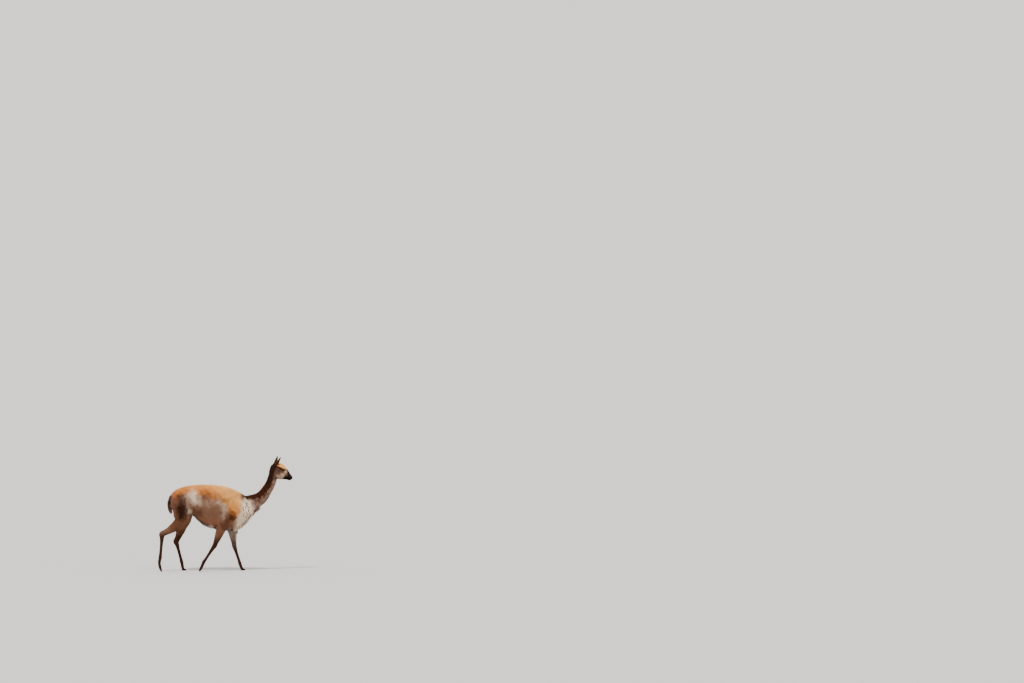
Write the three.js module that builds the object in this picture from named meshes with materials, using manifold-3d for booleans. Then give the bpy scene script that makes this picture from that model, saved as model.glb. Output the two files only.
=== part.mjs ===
import * as THREE from "three";
import { mergeVertices } from "three/addons/utils/BufferGeometryUtils.js";
import Module from "manifold-3d";

const wasm = await Module();
wasm.setup();

// A walking vicuna, life size, as one still model. X runs from tail to nose, Y to the animal's left and
// Z up from the floor. Lengths are millimetres.
const seam = 0.3; // gap between neighbouring pieces
const sliver = 0.2; // detail below this size is smoothed away where locks cross

// Trunk from rump to breast: place along the body, back, belly, half breadth
const trunkRows = [
  [-535, 826, 640, 76],
  [-505, 846, 614, 102],
  [-460, 866, 597, 124],
  [-361, 889, 574, 147],
  [-276, 897, 508, 158],
  [-190, 896, 468, 163],
  [-60, 886, 446, 158],
  [60, 858, 446, 144],
  [140, 819, 482, 118],
  [200, 782, 528, 92],
  [250, 745, 580, 70],
];
const trunkMiddle = 680;
const rumpReach = 34;
const breastReach = 46;
const haunch = { at: [-462, 84, 705], radii: [106, 58, 108] };
const shoulder = { at: [58, 92, 640], radii: [92, 52, 150] };

// Neck from the breast up to the poll: along, up, depth to the nape and to the throat, half breadth
const neckRows = [
  [180, 655, 108, 96, 84],
  [262, 700, 92, 78, 76],
  [329, 727, 80, 68, 70],
  [378, 766, 69, 64, 63],
  [426, 832, 59, 57, 55],
  [468, 905, 54, 54, 50],
  [492, 978, 50, 50, 48],
  [506, 1040, 46, 46, 45],
  [512, 1080, 40, 40, 40],
];
const neckFoot = { at: [325, 728], slope: 57 }; // where the neck leaves the trunk, and its cut's tilt
const neckMiddle = { at: [438, 855], slope: 60 };
const neckHead = { at: [500, 1012], slope: 40 };

// Head in its own frame: u along the face, v up and w sideways, from a point in the back of the skull
const headAt = [480, 0, 1052];
const headDip = 22.5;
const headRows = [
  [-15, 45, -52, 40],
  [20, 70, -62, 48],
  [52, 88, -68, 53],
  [80, 96, -71, 53],
  [108, 85, -67, 45],
  [130, 73, -60, 36],
  [153, 61, -52, 30],
  [182, 41, -41, 25],
  [205, 29, -33, 24],
  [220, 20, -26, 20],
];
const noseReach = 13;
const eye = { at: [112, 33, 43], radius: 17, lid: 2.6, slit: [15, 9], tilt: -12 };
const mouth = { front: [240, -13], corner: [150, -25], gap: 1.6, depth: 5 };
const nostril = { at: [218, 13, 9], radii: [9, 3.5, 4.5], turn: 24 };

// Ears: root and tip in the shared frame, and which way the cup opens
const ears = [
  { name: "ear_right", root: [514, -27, 1076], tip: [579, -62, 1184], opens: [0.75, -0.65, -0.1] },
  { name: "ear_left", root: [501, 27, 1076], tip: [547, 60, 1191], opens: [0.45, 0.88, -0.1] },
];
const earWall = 3.6;

// Tail with its hair: along, up, girth
const tailRows = [
  [-520, 808, 19],
  [-552, 786, 22],
  [-574, 742, 25],
  [-580, 690, 26],
  [-573, 642, 23],
  [-562, 604, 15],
];
const tailCore = 0.68; // share of the girth that is flesh

// Long hair grows in tiers. A tier gives the point its rays leave from, their arc round it from straight
// ahead, their tilt, and the fall, length, width and lift of its locks.
const bibLock = {
  from: [205, 0, 650],
  fall: [0.42, 0, -1],
  length: 132,
  width: 42,
  lift: 18,
  hang: 0.22,
  turn: 2,
};
const bibTiers = [
  { ...bibLock, tilt: 40, arc: [66, 104], count: 2, mirrored: true, length: 110 },
  { ...bibLock, tilt: 16, arc: [-112, 112], count: 7 },
  { ...bibLock, tilt: -9, arc: [-118, 118], count: 8 },
  { ...bibLock, tilt: -34, arc: [-110, 110], count: 7, length: 104 },
];
const bellyLock = { tilt: -44, fall: [-0.3, 0, -1], length: 60, width: 40, lift: 12, hang: 0.75, turn: 3 };
const bellyTiers = [-345, -303, -261, -219, -177, -135, -93, -51].map((x, i) => {
  const arc = [86 + (i % 2) * 8, 86 + (i % 2) * 8];
  return { ...bellyLock, from: [x, 0, 610], arc, count: 1, mirrored: true };
});
const breechLock = { fall: [-0.25, 0, -1], length: 82, width: 40, lift: 13, hang: 0.1, turn: 3 };
const breechTiers = [
  { ...breechLock, from: [-470, 0, 772], arc: [112, 148], count: 3, mirrored: true },
  { ...breechLock, from: [-470, 0, 722], arc: [106, 142], count: 3, mirrored: true },
];
const tailLock = { fall: [-0.1, 0, -1], length: 84, width: 27, lift: 9, hang: 0.1, sink: 6 };
const tailTiers = [
  { ...tailLock, from: [-566, 0, 762], arc: [110, 250], count: 3 },
  { ...tailLock, from: [-579, 0, 708], arc: [85, 275], count: 4 },
  { ...tailLock, from: [-574, 0, 652], arc: [105, 255], count: 4, length: 62 },
];

// Legs: joints from the top down as along and up, then knuckle, pad and tip of the toes. A tight bend has
// its own inner line, in place of the stations on its first bones, from which the skin is cast.
const legs = [
  {
    name: "foreleg_right",
    side: -1,
    kind: "fore",
    joints: [[64, 640], [-18, 500], [-112, 268], [-226, 94]],
    toes: [[-226, 94], [-243, 55], [-259, 22], [-268, 9]],
  },
  {
    name: "foreleg_left",
    side: 1,
    kind: "fore",
    joints: [[108, 640], [62, 492], [92, 256], [150, 74]],
    toes: [[150, 74], [163, 36], [178, 10], [197, 8]],
  },
  {
    name: "hindleg_right",
    side: -1,
    kind: "hind",
    joints: [[-462, 715], [-420, 515], [-652, 385], [-674, 146]],
    bend: [[-474, 640], [-506, 552], [-574, 450]],
    toes: [[-674, 146], [-684, 92], [-676, 42], [-664, 9]],
  },
  {
    name: "hindleg_left",
    side: 1,
    kind: "hind",
    joints: [[-458, 715], [-412, 535], [-508, 300], [-454, 92]],
    bend: [[-462, 640], [-464, 540], [-486, 430]],
    toes: [[-454, 92], [-446, 46], [-436, 11], [-416, 8]],
  },
];

// Leg girths: bone, share of its length, then reach to the front, to the back and sideways
const girths = {
  fore: {
    offsets: [92, 84, 79, 76],
    rows: [
      [0, 0, 60, 60, 40],
      [0, 0.6, 56, 58, 40],
      [1, 0, 50, 52, 38],
      [1, 0.3, 44, 46, 35],
      [1, 0.65, 34, 34, 28],
      [1, 0.88, 25, 25, 22],
      [2, 0, 26, 24, 23],
      [2, 0.16, 20, 21, 19],
      [2, 0.45, 15, 16, 15],
      [2, 0.8, 15, 15, 15],
      [3, 0, 17, 19, 18],
    ],
    cut: 430,
  },
  hind: {
    offsets: [82, 92, 82, 78],
    rows: [
      [0, 0, 104, 100, 60],
      [0, 0.5, 98, 102, 62],
      [0, 0.85, 80, 116, 58],
      [1, 0.12, 62, 96, 48],
      [1, 0.4, 44, 58, 36],
      [1, 0.7, 32, 36, 27],
      [1, 0.9, 25, 32, 22],
      [2, 0, 24, 34, 22],
      [2, 0.14, 20, 24, 19],
      [2, 0.4, 15, 17, 15],
      [2, 0.8, 15, 16, 15],
      [3, 0, 17, 20, 18],
    ],
    cut: 590,
  },
};
const toeSpread = 13;
const toeGirths = [17, 14.5, 13.5, 9];
const nailSize = { length: 19, girth: 5.5, lift: 7 };

// Colours, roughness
const finishes = {
  fleece: [0xb98252, 0.95],
  dark_coat: [0x4a2c20, 0.92],
  eye: [0x120a08, 0.1],
  nail: [0x241a16, 0.5],
};

const sideways = new THREE.Vector3(0, 1, 0);
const upwards = new THREE.Vector3(0, 0, 1);
const degrees = Math.PI / 180;
const station = (x, y, z, up, down, side) => ({
  at: new THREE.Vector3(x, y, z),
  girth: new THREE.Vector3(up, down, side),
});

// Directions at one place of a path: along it, towards the back or front of the animal, and sideways
function frameAt(path, share) {
  const along = path.getTangent(share);
  const up = new THREE.Vector3().crossVectors(along, sideways).normalize();
  const side = new THREE.Vector3().crossVectors(up, along).normalize();
  return { at: path.getPoint(share), along, up, side };
}

const pathOf = (stations) => new THREE.CatmullRomCurve3(stations.map((s) => s.at));

// Distance to a bent tube with its own girth up, down and sideways at each station
function tube(stations, { power = 2, start = 20, end = 20, steps = 5 } = {}) {
  const path = pathOf(stations);
  const girth = new THREE.CatmullRomCurve3(stations.map((s) => s.girth));
  const count = (stations.length - 1) * steps;
  const rings = [];
  for (let i = 0; i <= count; i += 1) {
    rings.push({ ...frameAt(path, i / count), girth: girth.getPoint(i / count) });
  }
  const offset = new THREE.Vector3();
  const lead = new THREE.Vector3();
  return (p) => {
    let nearest = Infinity;
    let low = 0;
    let share = 0;
    for (let i = 0; i < count; i += 1) {
      const a = rings[i].at;
      lead.subVectors(rings[i + 1].at, a);
      offset.subVectors(p, a);
      const t = Math.min(Math.max(offset.dot(lead) / lead.lengthSq(), 0), 1);
      const gap = offset.addScaledVector(lead, -t).lengthSq();
      if (gap < nearest) {
        nearest = gap;
        low = i;
        share = t;
      }
    }
    const a = rings[low];
    const b = rings[low + 1];
    const blend = (key, axis) => a[key][axis] + (b[key][axis] - a[key][axis]) * share;
    offset.set(p.x - blend("at", "x"), p.y - blend("at", "y"), p.z - blend("at", "z"));
    const frame = share < 0.5 ? a : b;
    const rise = offset.dot(frame.up);
    const spread = offset.dot(frame.side) / blend("girth", "z");
    const height = rise / (rise > 0 ? blend("girth", "x") : blend("girth", "y"));
    const onStart = low === 0 && share === 0;
    const onEnd = low === count - 1 && share === 1;
    const past = onStart || onEnd ? offset.dot(frame.along) / (onStart ? start : end) : 0;
    const total = [height, spread, past].reduce((sum, part) => sum + Math.abs(part) ** power, 0);
    const size = total ** (1 / power);
    return size < 1e-4 ? -blend("girth", "z") : offset.length() * (1 - 1 / size);
  };
}

// Distance to an ellipsoid whose long axis may be turned in the side view
function mass(at, radii, turn = 0) {
  const cos = Math.cos(turn * degrees);
  const sin = Math.sin(turn * degrees);
  return (p) => {
    const x = p.x - at[0];
    const y = p.y - at[1];
    const z = p.z - at[2];
    const size = Math.hypot((x * cos - z * sin) / radii[0], y / radii[1], (x * sin + z * cos) / radii[2]);
    return size < 1e-4 ? -Math.min(...radii) : Math.hypot(x, y, z) * (1 - 1 / size);
  };
}

const smoothMin = (a, b, reach) => {
  const near = Math.max(reach - Math.abs(a - b), 0) / reach;
  return Math.min(a, b) - near * near * reach * 0.25;
};
const blend = (reach, ...fields) => (p) => fields.map((f) => f(p)).reduce((a, b) => smoothMin(a, b, reach));

function solidOf(positions, triangles) {
  const vertProperties = new Float32Array(positions);
  const triVerts = new Uint32Array(triangles);
  return new wasm.Manifold(new wasm.Mesh({ numProp: 3, vertProperties, triVerts }));
}

function solidFrom(geometry) {
  geometry.deleteAttribute("uv");
  geometry.deleteAttribute("normal");
  const merged = mergeVertices(geometry);
  return solidOf(merged.attributes.position.array, merged.index.array);
}

// Closed skin over rows of points with equal counts, drawn together to one point at either end
function closeRows(first, rows, last) {
  const around = rows[0].length;
  const points = [first, ...rows.flat(), last];
  const triangles = [];
  const index = (row, j) => 1 + row * around + (j % around);
  for (let j = 0; j < around; j += 1) {
    triangles.push(0, index(0, j), index(0, j + 1));
    for (let row = 0; row < rows.length - 1; row += 1) {
      const [a, b] = [index(row, j), index(row, j + 1)];
      const [c, d] = [index(row + 1, j), index(row + 1, j + 1)];
      triangles.push(a, c, b, b, c, d);
    }
    triangles.push(index(rows.length - 1, j), points.length - 1, index(rows.length - 1, j + 1));
  }
  return solidOf(points.flatMap((p) => [p.x, p.y, p.z]), triangles);
}

// Where a ray from inside the flesh comes out through the given level of the field
function castRay(field, from, direction, level) {
  const probe = new THREE.Vector3();
  const value = (r) => field(probe.copy(from).addScaledVector(direction, r)) - level;
  let inside = 0;
  let outside = 3;
  while (value(outside) < 0 && outside < 500) {
    inside = outside;
    outside += 5;
  }
  for (let i = 0; i < 12; i += 1) {
    const middle = (inside + outside) / 2;
    if (value(middle) < 0) inside = middle;
    else outside = middle;
  }
  return from.clone().addScaledVector(direction, inside);
}

// Skin of the field seen from a path inside it: rings of rays, and a dome of rays at either end
function castSkin(path, field, { shares, around, dome = 4, level = 0 }) {
  const ringAt = (share, lean) => {
    const { at, along, up, side } = frameAt(path, share);
    return Array.from({ length: around }, (_, j) => {
      const angle = (j / around) * 2 * Math.PI;
      const direction = up.clone().multiplyScalar(Math.cos(angle) * Math.cos(lean));
      direction.addScaledVector(side, Math.sin(angle) * Math.cos(lean));
      direction.addScaledVector(along, Math.sin(lean));
      return castRay(field, at, direction, level);
    });
  };
  const first = shares[0];
  const last = shares[shares.length - 1];
  const leans = Array.from({ length: dome - 1 }, (_, i) => ((i + 1) / dome) * 90 * degrees);
  const rows = [
    ...[...leans].reverse().map((lean) => ringAt(first, -lean)),
    ...shares.map((share) => ringAt(share, 0)),
    ...leans.map((lean) => ringAt(last, lean)),
  ];
  const startFrame = frameAt(path, first);
  const endFrame = frameAt(path, last);
  const firstPoint = castRay(field, startFrame.at, startFrame.along.clone().negate(), level);
  const lastPoint = castRay(field, endFrame.at, endFrame.along, level);
  return closeRows(firstPoint, rows, lastPoint);
}

const evenShares = (from, to, count) =>
  Array.from({ length: count }, (_, i) => from + ((to - from) * i) / (count - 1));

// Large block whose face lies on a plane: used to cut a solid there
const blockSize = 3000;
function blockBeyond(at, normal, clearance) {
  const box = new THREE.BoxGeometry(blockSize, blockSize, blockSize);
  box.translate(0, 0, blockSize / 2 + clearance);
  box.applyQuaternion(new THREE.Quaternion().setFromUnitVectors(upwards, normal));
  box.translate(at.x, at.y, at.z);
  return solidFrom(box);
}
const keepBeyond = (solid, at, normal) => solid.intersect(blockBeyond(at, normal, seam / 2));
const keepBefore = (solid, at, normal) => keepBeyond(solid, at, normal.clone().negate());

// The one closed body that a piece is kept as
const largest = (solid) =>
  solid.decompose().reduce((best, piece) => (piece.volume() > best.volume() ? piece : best));

// Flesh of the trunk with the roots of neck and haunches
const trunkStations = trunkRows.map(([x, back, belly, breadth]) => {
  return station(x, 0, trunkMiddle, back - trunkMiddle, trunkMiddle - belly, breadth);
});
const neckStations = neckRows.map(([x, z, nape, throat, breadth]) => station(x, 0, z, nape, throat, breadth));
const trunkField = tube(trunkStations, { power: 2.3, start: rumpReach, end: breastReach });
const neckField = tube(neckStations, { start: 60, end: 30 });
const bothSides = ([x, y, z], radii) => {
  const left = mass([x, y, z], radii);
  const right = mass([x, -y, z], radii);
  return (p) => Math.min(left(p), right(p));
};
const haunchField = bothSides(haunch.at, haunch.radii);
const shoulderField = bothSides(shoulder.at, shoulder.radii);
const bodyField = blend(60, trunkField, haunchField, shoulderField, neckField);

const floor = blockBeyond(new THREE.Vector3(), new THREE.Vector3(0, 0, -1), 0);

// Direction straight out of the flesh
function slopeOf(field, p) {
  const probe = new THREE.Vector3();
  const along = (axis) => {
    probe.copy(p)[axis] += 1;
    const ahead = field(probe);
    probe.copy(p)[axis] -= 1;
    return ahead - field(probe);
  };
  return new THREE.Vector3(along("x"), along("y"), along("z")).normalize();
}

// A flat, tapered lock of long hair: sunk in the flesh at its root, it lies over the coat and lifts to its
// tip. hang says how far it leaves the flesh to follow its own fall.
const lockSteps = [
  { t: 0, half: 0.5, rise: 0 },
  { t: 0.2, half: 0.9, rise: 0.05 },
  { t: 0.48, half: 1, rise: 0.42 },
  { t: 0.78, half: 0.68, rise: 0.82 },
  { t: 1, half: 0, rise: 1 },
];
const crestShare = 0.3; // height of a lock's ridge to its half width
function makeLock(field, { root, fall, length, width, lift, hang = 0, sink = 9 }) {
  const at = root.clone();
  const rows = lockSteps.map(({ t, half, rise }, i) => {
    const normal = slopeOf(field, at);
    const lying = fall.clone().projectOnPlane(normal).normalize();
    const direction = lying.lerp(fall, hang * t).normalize();
    const across = new THREE.Vector3().crossVectors(normal, direction).normalize();
    const over = new THREE.Vector3().crossVectors(direction, across);
    const centre = at.clone().addScaledVector(normal, i === 0 ? -sink : lift * rise);
    const reach = (width / 2) * half;
    if (i < lockSteps.length - 1) {
      at.addScaledVector(direction, length * (lockSteps[i + 1].t - t));
      const gap = -field(at);
      at.addScaledVector(slopeOf(field, at), gap > 0 ? gap : gap * (1 - hang));
    }
    return [
      centre.clone().addScaledVector(over, reach * crestShare),
      centre.clone().addScaledVector(across, reach).addScaledVector(over, -reach * crestShare * 0.5),
      centre.clone().addScaledVector(across, -reach).addScaledVector(over, -reach * crestShare * 0.5),
    ];
  });
  const tip = rows.pop()[0];
  const foot = rows[0][0].clone().add(rows[0][1]).add(rows[0][2]).divideScalar(3);
  return closeRows(foot, rows, tip);
}

// Random draws that come out alike every time
function seededDraws(seed) {
  let state = seed;
  return (low, high) => {
    state = (state * 1664525 + 1013904223) % 4294967296;
    return low + ((high - low) * state) / 4294967296;
  };
}

// Tiers of locks: each tier is an arc of rays from one point, and its locks fall alike
function growTiers(field, tiers, seed) {
  const draw = seededDraws(seed);
  const locks = [];
  for (const { from, arc, count, tilt = 0, turn = 0, fall, mirrored = false, ...size } of tiers) {
    for (const side of mirrored ? [-1, 1] : [1]) {
      for (let i = 0; i < count; i += 1) {
        const share = count > 1 ? i / (count - 1) : 0.5;
        const angle = side * (arc[0] + (arc[1] - arc[0]) * share + draw(-turn, turn)) * degrees;
        const ray = new THREE.Vector3(Math.cos(angle), Math.sin(angle), Math.tan(tilt * degrees)).normalize();
        const lean = new THREE.Vector3(draw(-0.1, 0.1), draw(-0.1, 0.1), 0);
        locks.push(makeLock(field, {
          ...size,
          root: castRay(field, new THREE.Vector3(...from), ray, 0),
          fall: new THREE.Vector3(...fall).add(lean).normalize(),
          length: size.length * draw(0.88, 1.12),
          width: size.width * draw(0.9, 1.15),
        }));
      }
    }
  }
  return locks;
}
const joinAll = (solid, locks) => locks.reduce((whole, lock) => whole.add(lock), solid);

// Legs: each is cast whole, toes and all, and parted at its joints
function legStations(leg) {
  const { offsets, rows } = girths[leg.kind];
  return rows.map(([bone, share, front, back, breadth]) => {
    const from = leg.joints[bone];
    const to = leg.joints[Math.min(bone + 1, leg.joints.length - 1)];
    const y = offsets[bone] + (offsets[Math.min(bone + 1, 3)] - offsets[bone]) * share;
    const x = from[0] + (to[0] - from[0]) * share;
    const z = from[1] + (to[1] - from[1]) * share;
    return station(x, y * leg.side, z, front, back, breadth);
  });
}

function castPath(leg, stations) {
  if (!leg.bend) return pathOf(stations);
  const middle = girths[leg.kind].offsets[1] * leg.side;
  const inner = leg.bend.map(([x, z]) => station(x, middle, z, 1, 1, 1));
  const shank = girths[leg.kind].rows.findIndex(([bone]) => bone === 2);
  return pathOf([stations[0], ...inner, ...stations.slice(shank)]);
}

function toeStations(leg, turn) {
  const middle = girths[leg.kind].offsets[3] * leg.side;
  return leg.toes.map(([x, z], i) => {
    const spread = toeSpread * turn * (i === 0 ? 0.5 : 1);
    const girth = toeGirths[i];
    return station(x, middle + spread, z, girth, girth, girth * (i === 0 ? 0.8 : 0.88));
  });
}

function makeLeg(leg) {
  const stations = legStations(leg);
  const path = castPath(leg, stations);
  const flesh = tube(stations, { start: 40, end: 18 });
  const shape = { shares: evenShares(0.02, 0.985, 18), around: 12, dome: 3 };
  const limb = castSkin(path, flesh, shape);
  const toes = [-1, 1].map((turn) => {
    const own = toeStations(leg, turn);
    const toeShape = { shares: evenShares(0.05, 0.98, 5), around: 8, dome: 2 };
    const field = tube(own, { start: 12, end: 9 });
    return {
      solid: castSkin(pathOf(own), field, toeShape),
      grown: castSkin(pathOf(own), field, { ...toeShape, level: seam }),
      stations: own,
    };
  });
  const whole = limb.add(toes[0].solid).add(toes[1].solid).subtract(floor);
  const jointAt = (i) => {
    const [x, z] = leg.joints[i];
    const at = new THREE.Vector3(x, girths[leg.kind].offsets[i] * leg.side, z);
    const [before, after] = [leg.joints[i - 1], leg.joints[i + 1] ?? leg.toes[1]];
    const normal = new THREE.Vector3(before[0] - after[0], 0, before[1] - after[1]).normalize();
    return { at, normal };
  };
  const top = new THREE.Vector3(0, 0, girths[leg.kind].cut);
  const clearTop = new THREE.Vector3(0, 0, girths[leg.kind].cut + seam);
  const knee = jointAt(2);
  const fetlock = jointAt(3);
  const below = keepBefore(whole, top, upwards);
  const shank = keepBefore(below, knee.at, knee.normal);
  return {
    root: keepBeyond(whole, top, upwards),
    clear: keepBefore(castSkin(path, flesh, { ...shape, level: seam }), clearTop, upwards),
    upper: largest(keepBeyond(below, knee.at, knee.normal)),
    cannon: largest(keepBeyond(shank, fetlock.at, fetlock.normal)),
    foot: largest(keepBefore(shank, fetlock.at, fetlock.normal)),
    nails: toes.map((toe) => makeNail(toe)),
  };
}

// A nail: a short curved claw on the front of a toe's tip
function makeNail(toe) {
  const { at: tip } = toe.stations[3];
  const frame = frameAt(pathOf(toe.stations), 1);
  const { length, girth, lift } = nailSize;
  const place = (along, up, size) => {
    const at = tip.clone().addScaledVector(frame.along, along).addScaledVector(frame.up, up);
    at.z = Math.max(at.z, size + 1);
    return station(at.x, at.y, at.z, size, size, size);
  };
  const stations = [
    place(-length * 0.5, lift, girth * 0.7),
    place(0, lift, girth),
    place(length * 0.5, lift * 0.4, girth * 0.45),
  ];
  const shape = { shares: evenShares(0.05, 0.97, 3), around: 5, dome: 1 };
  const claw = castSkin(pathOf(stations), tube(stations, { start: 4, end: 3 }), shape);
  return largest(claw.subtract(toe.grown).subtract(floor));
}

// Neck, in two lengths between three slanted cuts
const cutAt = ({ at, slope }) => ({
  at: new THREE.Vector3(at[0], 0, at[1]),
  normal: new THREE.Vector3(Math.cos(slope * degrees), 0, Math.sin(slope * degrees)),
});
const [footCut, middleCut, headCut] = [neckFoot, neckMiddle, neckHead].map(cutAt);

// Head: flesh round the skull, with sockets, lids, nostrils and mouth cut into it
const headTurn = new THREE.Matrix4()
  .makeTranslation(...headAt)
  .multiply(new THREE.Matrix4().makeRotationY(headDip * degrees));
const headPoint = (u, w, v) => new THREE.Vector3(u, w, v).applyMatrix4(headTurn);
const headMass = ([u, w, v], radii) => mass(headPoint(u, w, v).toArray(), radii, headDip);
const headPair = ([u, w, v], radii) => {
  const left = headMass([u, w, v], radii);
  const right = headMass([u, -w, v], radii);
  return (p) => Math.min(left(p), right(p));
};
const headStations = headRows.map(([u, top, bottom, breadth]) => {
  const half = (top - bottom) / 2;
  const at = headPoint(u, 0, bottom + half);
  return station(at.x, 0, at.z, half, half, breadth);
});

const headField = blend(
  12,
  tube(headStations, { power: 2.1, start: 12, end: noseReach }),
  headPair([106, 36, 50], [30, 14, 20]),
  headPair([76, 30, -28], [40, 22, 38]),
  headPair([214, 10, 2], [16, 13, 15]),
  headPair([210, 11, -12], [20, 11, 11]),
  headMass([200, 0, -26], [24, 17, 11]),
  tube(neckStations.slice(-3), { start: 60, end: 30 }),
);

function makeHead() {
  const path = pathOf(headStations);
  const shape = { shares: evenShares(0.03, 0.985, 25), around: 28, dome: 4 };
  const skull = castSkin(path, headField, shape);
  const grown = castSkin(path, headField, { ...shape, level: seam });
  const inner = castSkin(path, headField, { ...shape, level: -mouth.depth });

  const [front, corner] = [mouth.front, mouth.corner];
  const length = Math.hypot(front[0] - corner[0], front[1] - corner[1]);
  const plate = new THREE.BoxGeometry(length, 120, mouth.gap);
  plate.rotateY(-Math.atan2(front[1] - corner[1], front[0] - corner[0]));
  plate.translate((front[0] + corner[0]) / 2, 0, (front[1] + corner[1]) / 2);
  plate.applyMatrix4(headTurn);
  const cleft = new THREE.BoxGeometry(30, mouth.gap, 18);
  cleft.translate(front[0] - 6, 0, front[1] + 8);
  cleft.applyMatrix4(headTurn);
  let head = skull.subtract(solidFrom(plate).add(solidFrom(cleft)).subtract(inner));

  const eyes = [];
  for (const side of [-1, 1]) {
    const [u, w, v] = eye.at;
    const at = headPoint(u, w * side, v);
    const ball = (radius, detail) => {
      const geometry = new THREE.IcosahedronGeometry(radius, detail);
      geometry.translate(at.x, at.y, at.z);
      return solidFrom(geometry);
    };
    const slit = new THREE.CylinderGeometry(1, 1, 60, 14);
    slit.scale(eye.slit[0], 1, eye.slit[1]);
    slit.rotateY(eye.tilt * degrees);
    slit.translate(u + 4, (w + 30 + 4) * side, v);
    slit.applyMatrix4(headTurn);
    const socket = ball(eye.radius + seam * 2, 2).add(solidFrom(slit));
    head = head.add(ball(eye.radius + eye.lid, 2)).subtract(socket);
    eyes.push({ name: side < 0 ? "eye_right" : "eye_left", solid: ball(eye.radius, 2) });

    const hole = new THREE.IcosahedronGeometry(1, 1);
    hole.scale(...nostril.radii);
    hole.rotateY(-30 * degrees);
    hole.rotateZ(nostril.turn * side * degrees);
    hole.translate(nostril.at[0], nostril.at[1] * side, nostril.at[2]);
    hole.applyMatrix4(headTurn);
    head = head.subtract(solidFrom(hole));
  }
  return { solid: largest(keepBeyond(head, headCut.at, headCut.normal)), grown, eyes };
}

// An ear: a spear-shaped wall bent into a cup round its own length
function makeEar({ root, tip, opens }, grownHead) {
  const from = new THREE.Vector3(...root);
  const along = new THREE.Vector3(...tip).sub(from);
  const facing = new THREE.Vector3(...opens).projectOnPlane(along).normalize();
  const across = new THREE.Vector3().crossVectors(facing, along).normalize();
  const count = 7;
  const rows = [];
  for (const t of [0, 0.12, 0.24, 0.36, 0.5, 0.64, 0.78, 0.9]) {
    const radius = 3.5 + 13.5 * Math.sin(Math.PI * (0.24 + 0.7 * t)) ** 1.2;
    const open = (150 - 85 * t) * degrees;
    const centre = from.clone().addScaledVector(along, t).addScaledVector(facing, 9 * t * (1 - t));
    const arc = (size) =>
      Array.from({ length: count }, (_, i) => {
        const angle = open * ((2 * i) / (count - 1) - 1) * 0.9;
        const point = centre.clone().addScaledVector(across, Math.sin(angle) * size);
        return point.addScaledVector(facing, -Math.cos(angle) * size);
      });
    rows.push([...arc(radius), ...arc(Math.max(radius - earWall, 1)).reverse()]);
  }
  const around = 2 * count;
  const points = [...rows.flat(), new THREE.Vector3(...tip)];
  const triangles = [];
  const index = (row, j) => row * around + (j % around);
  for (let j = 0; j < around; j += 1) {
    for (let row = 0; row < rows.length - 1; row += 1) {
      const [a, b] = [index(row, j), index(row, j + 1)];
      const [c, d] = [index(row + 1, j), index(row + 1, j + 1)];
      triangles.push(a, b, c, b, d, c);
    }
    triangles.push(index(rows.length - 1, j), index(rows.length - 1, j + 1), points.length - 1);
  }
  for (let j = 0; j < count - 1; j += 1) {
    const [a, b, c, d] = [j, j + 1, around - 1 - j, around - 2 - j];
    triangles.push(a, c, b, b, c, d);
  }
  return largest(solidOf(points.flatMap((p) => [p.x, p.y, p.z]), triangles).subtract(grownHead));
}

function meshOf(solid, name, finish) {
  const { vertProperties, triVerts } = solid.getMesh();
  const geometry = new THREE.BufferGeometry();
  geometry.setAttribute("position", new THREE.BufferAttribute(vertProperties, 3));
  geometry.setIndex(new THREE.BufferAttribute(triVerts, 1));
  geometry.computeVertexNormals();
  const [color, roughness] = finishes[finish];
  const mesh = new THREE.Mesh(geometry, new THREE.MeshStandardMaterial({ color, roughness, metalness: 0 }));
  mesh.name = name;
  return mesh;
}

const vicuna = new THREE.Group();
const put = (solid, name, finish) => vicuna.add(meshOf(solid, name, finish));

const builtLegs = legs.map((leg) => ({ ...leg, ...makeLeg(leg) }));
for (const { name, upper, cannon, foot, nails } of builtLegs) {
  put(upper, name, "dark_coat");
  put(cannon, `${name}_cannon`, "dark_coat");
  put(foot, `${name}_foot`, "dark_coat");
  nails.forEach((nail, i) => put(nail, `${name}_nail_${i + 1}`, "nail"));
}

const bodyStations = [...trunkStations.slice(0, -1), ...neckStations.slice(1, 6)];
const trunkSpine = pathOf(bodyStations);
const trunkShape = { shares: evenShares(0.012, 0.86, 31), around: 32, dome: 4 };
const grownTrunk = castSkin(trunkSpine, bodyField, { ...trunkShape, level: seam });
let torso = castSkin(trunkSpine, bodyField, trunkShape);
for (const { root } of builtLegs) torso = torso.add(root);
torso = joinAll(torso, growTiers(bodyField, [...bibTiers, ...bellyTiers, ...breechTiers], 8));
torso = torso.simplify(sliver);
for (const { clear } of builtLegs) torso = torso.subtract(clear);
put(largest(keepBefore(torso, footCut.at, footCut.normal)), "torso", "fleece");

const neckShape = { shares: evenShares(0.12, 0.97, 15), around: 24, dome: 2 };
const neck = castSkin(pathOf(neckStations), blend(60, trunkField, neckField), neckShape);
const neckAbove = keepBefore(keepBeyond(neck, footCut.at, footCut.normal), headCut.at, headCut.normal);
put(largest(keepBefore(neckAbove, middleCut.at, middleCut.normal)), "neck_lower", "dark_coat");
put(largest(keepBeyond(neckAbove, middleCut.at, middleCut.normal)), "neck_upper", "dark_coat");

const head = makeHead();
put(head.solid, "head", "dark_coat");
for (const { name, solid } of head.eyes) put(solid, name, "eye");
for (const ear of ears) put(makeEar(ear, head.grown), ear.name, "dark_coat");

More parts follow.
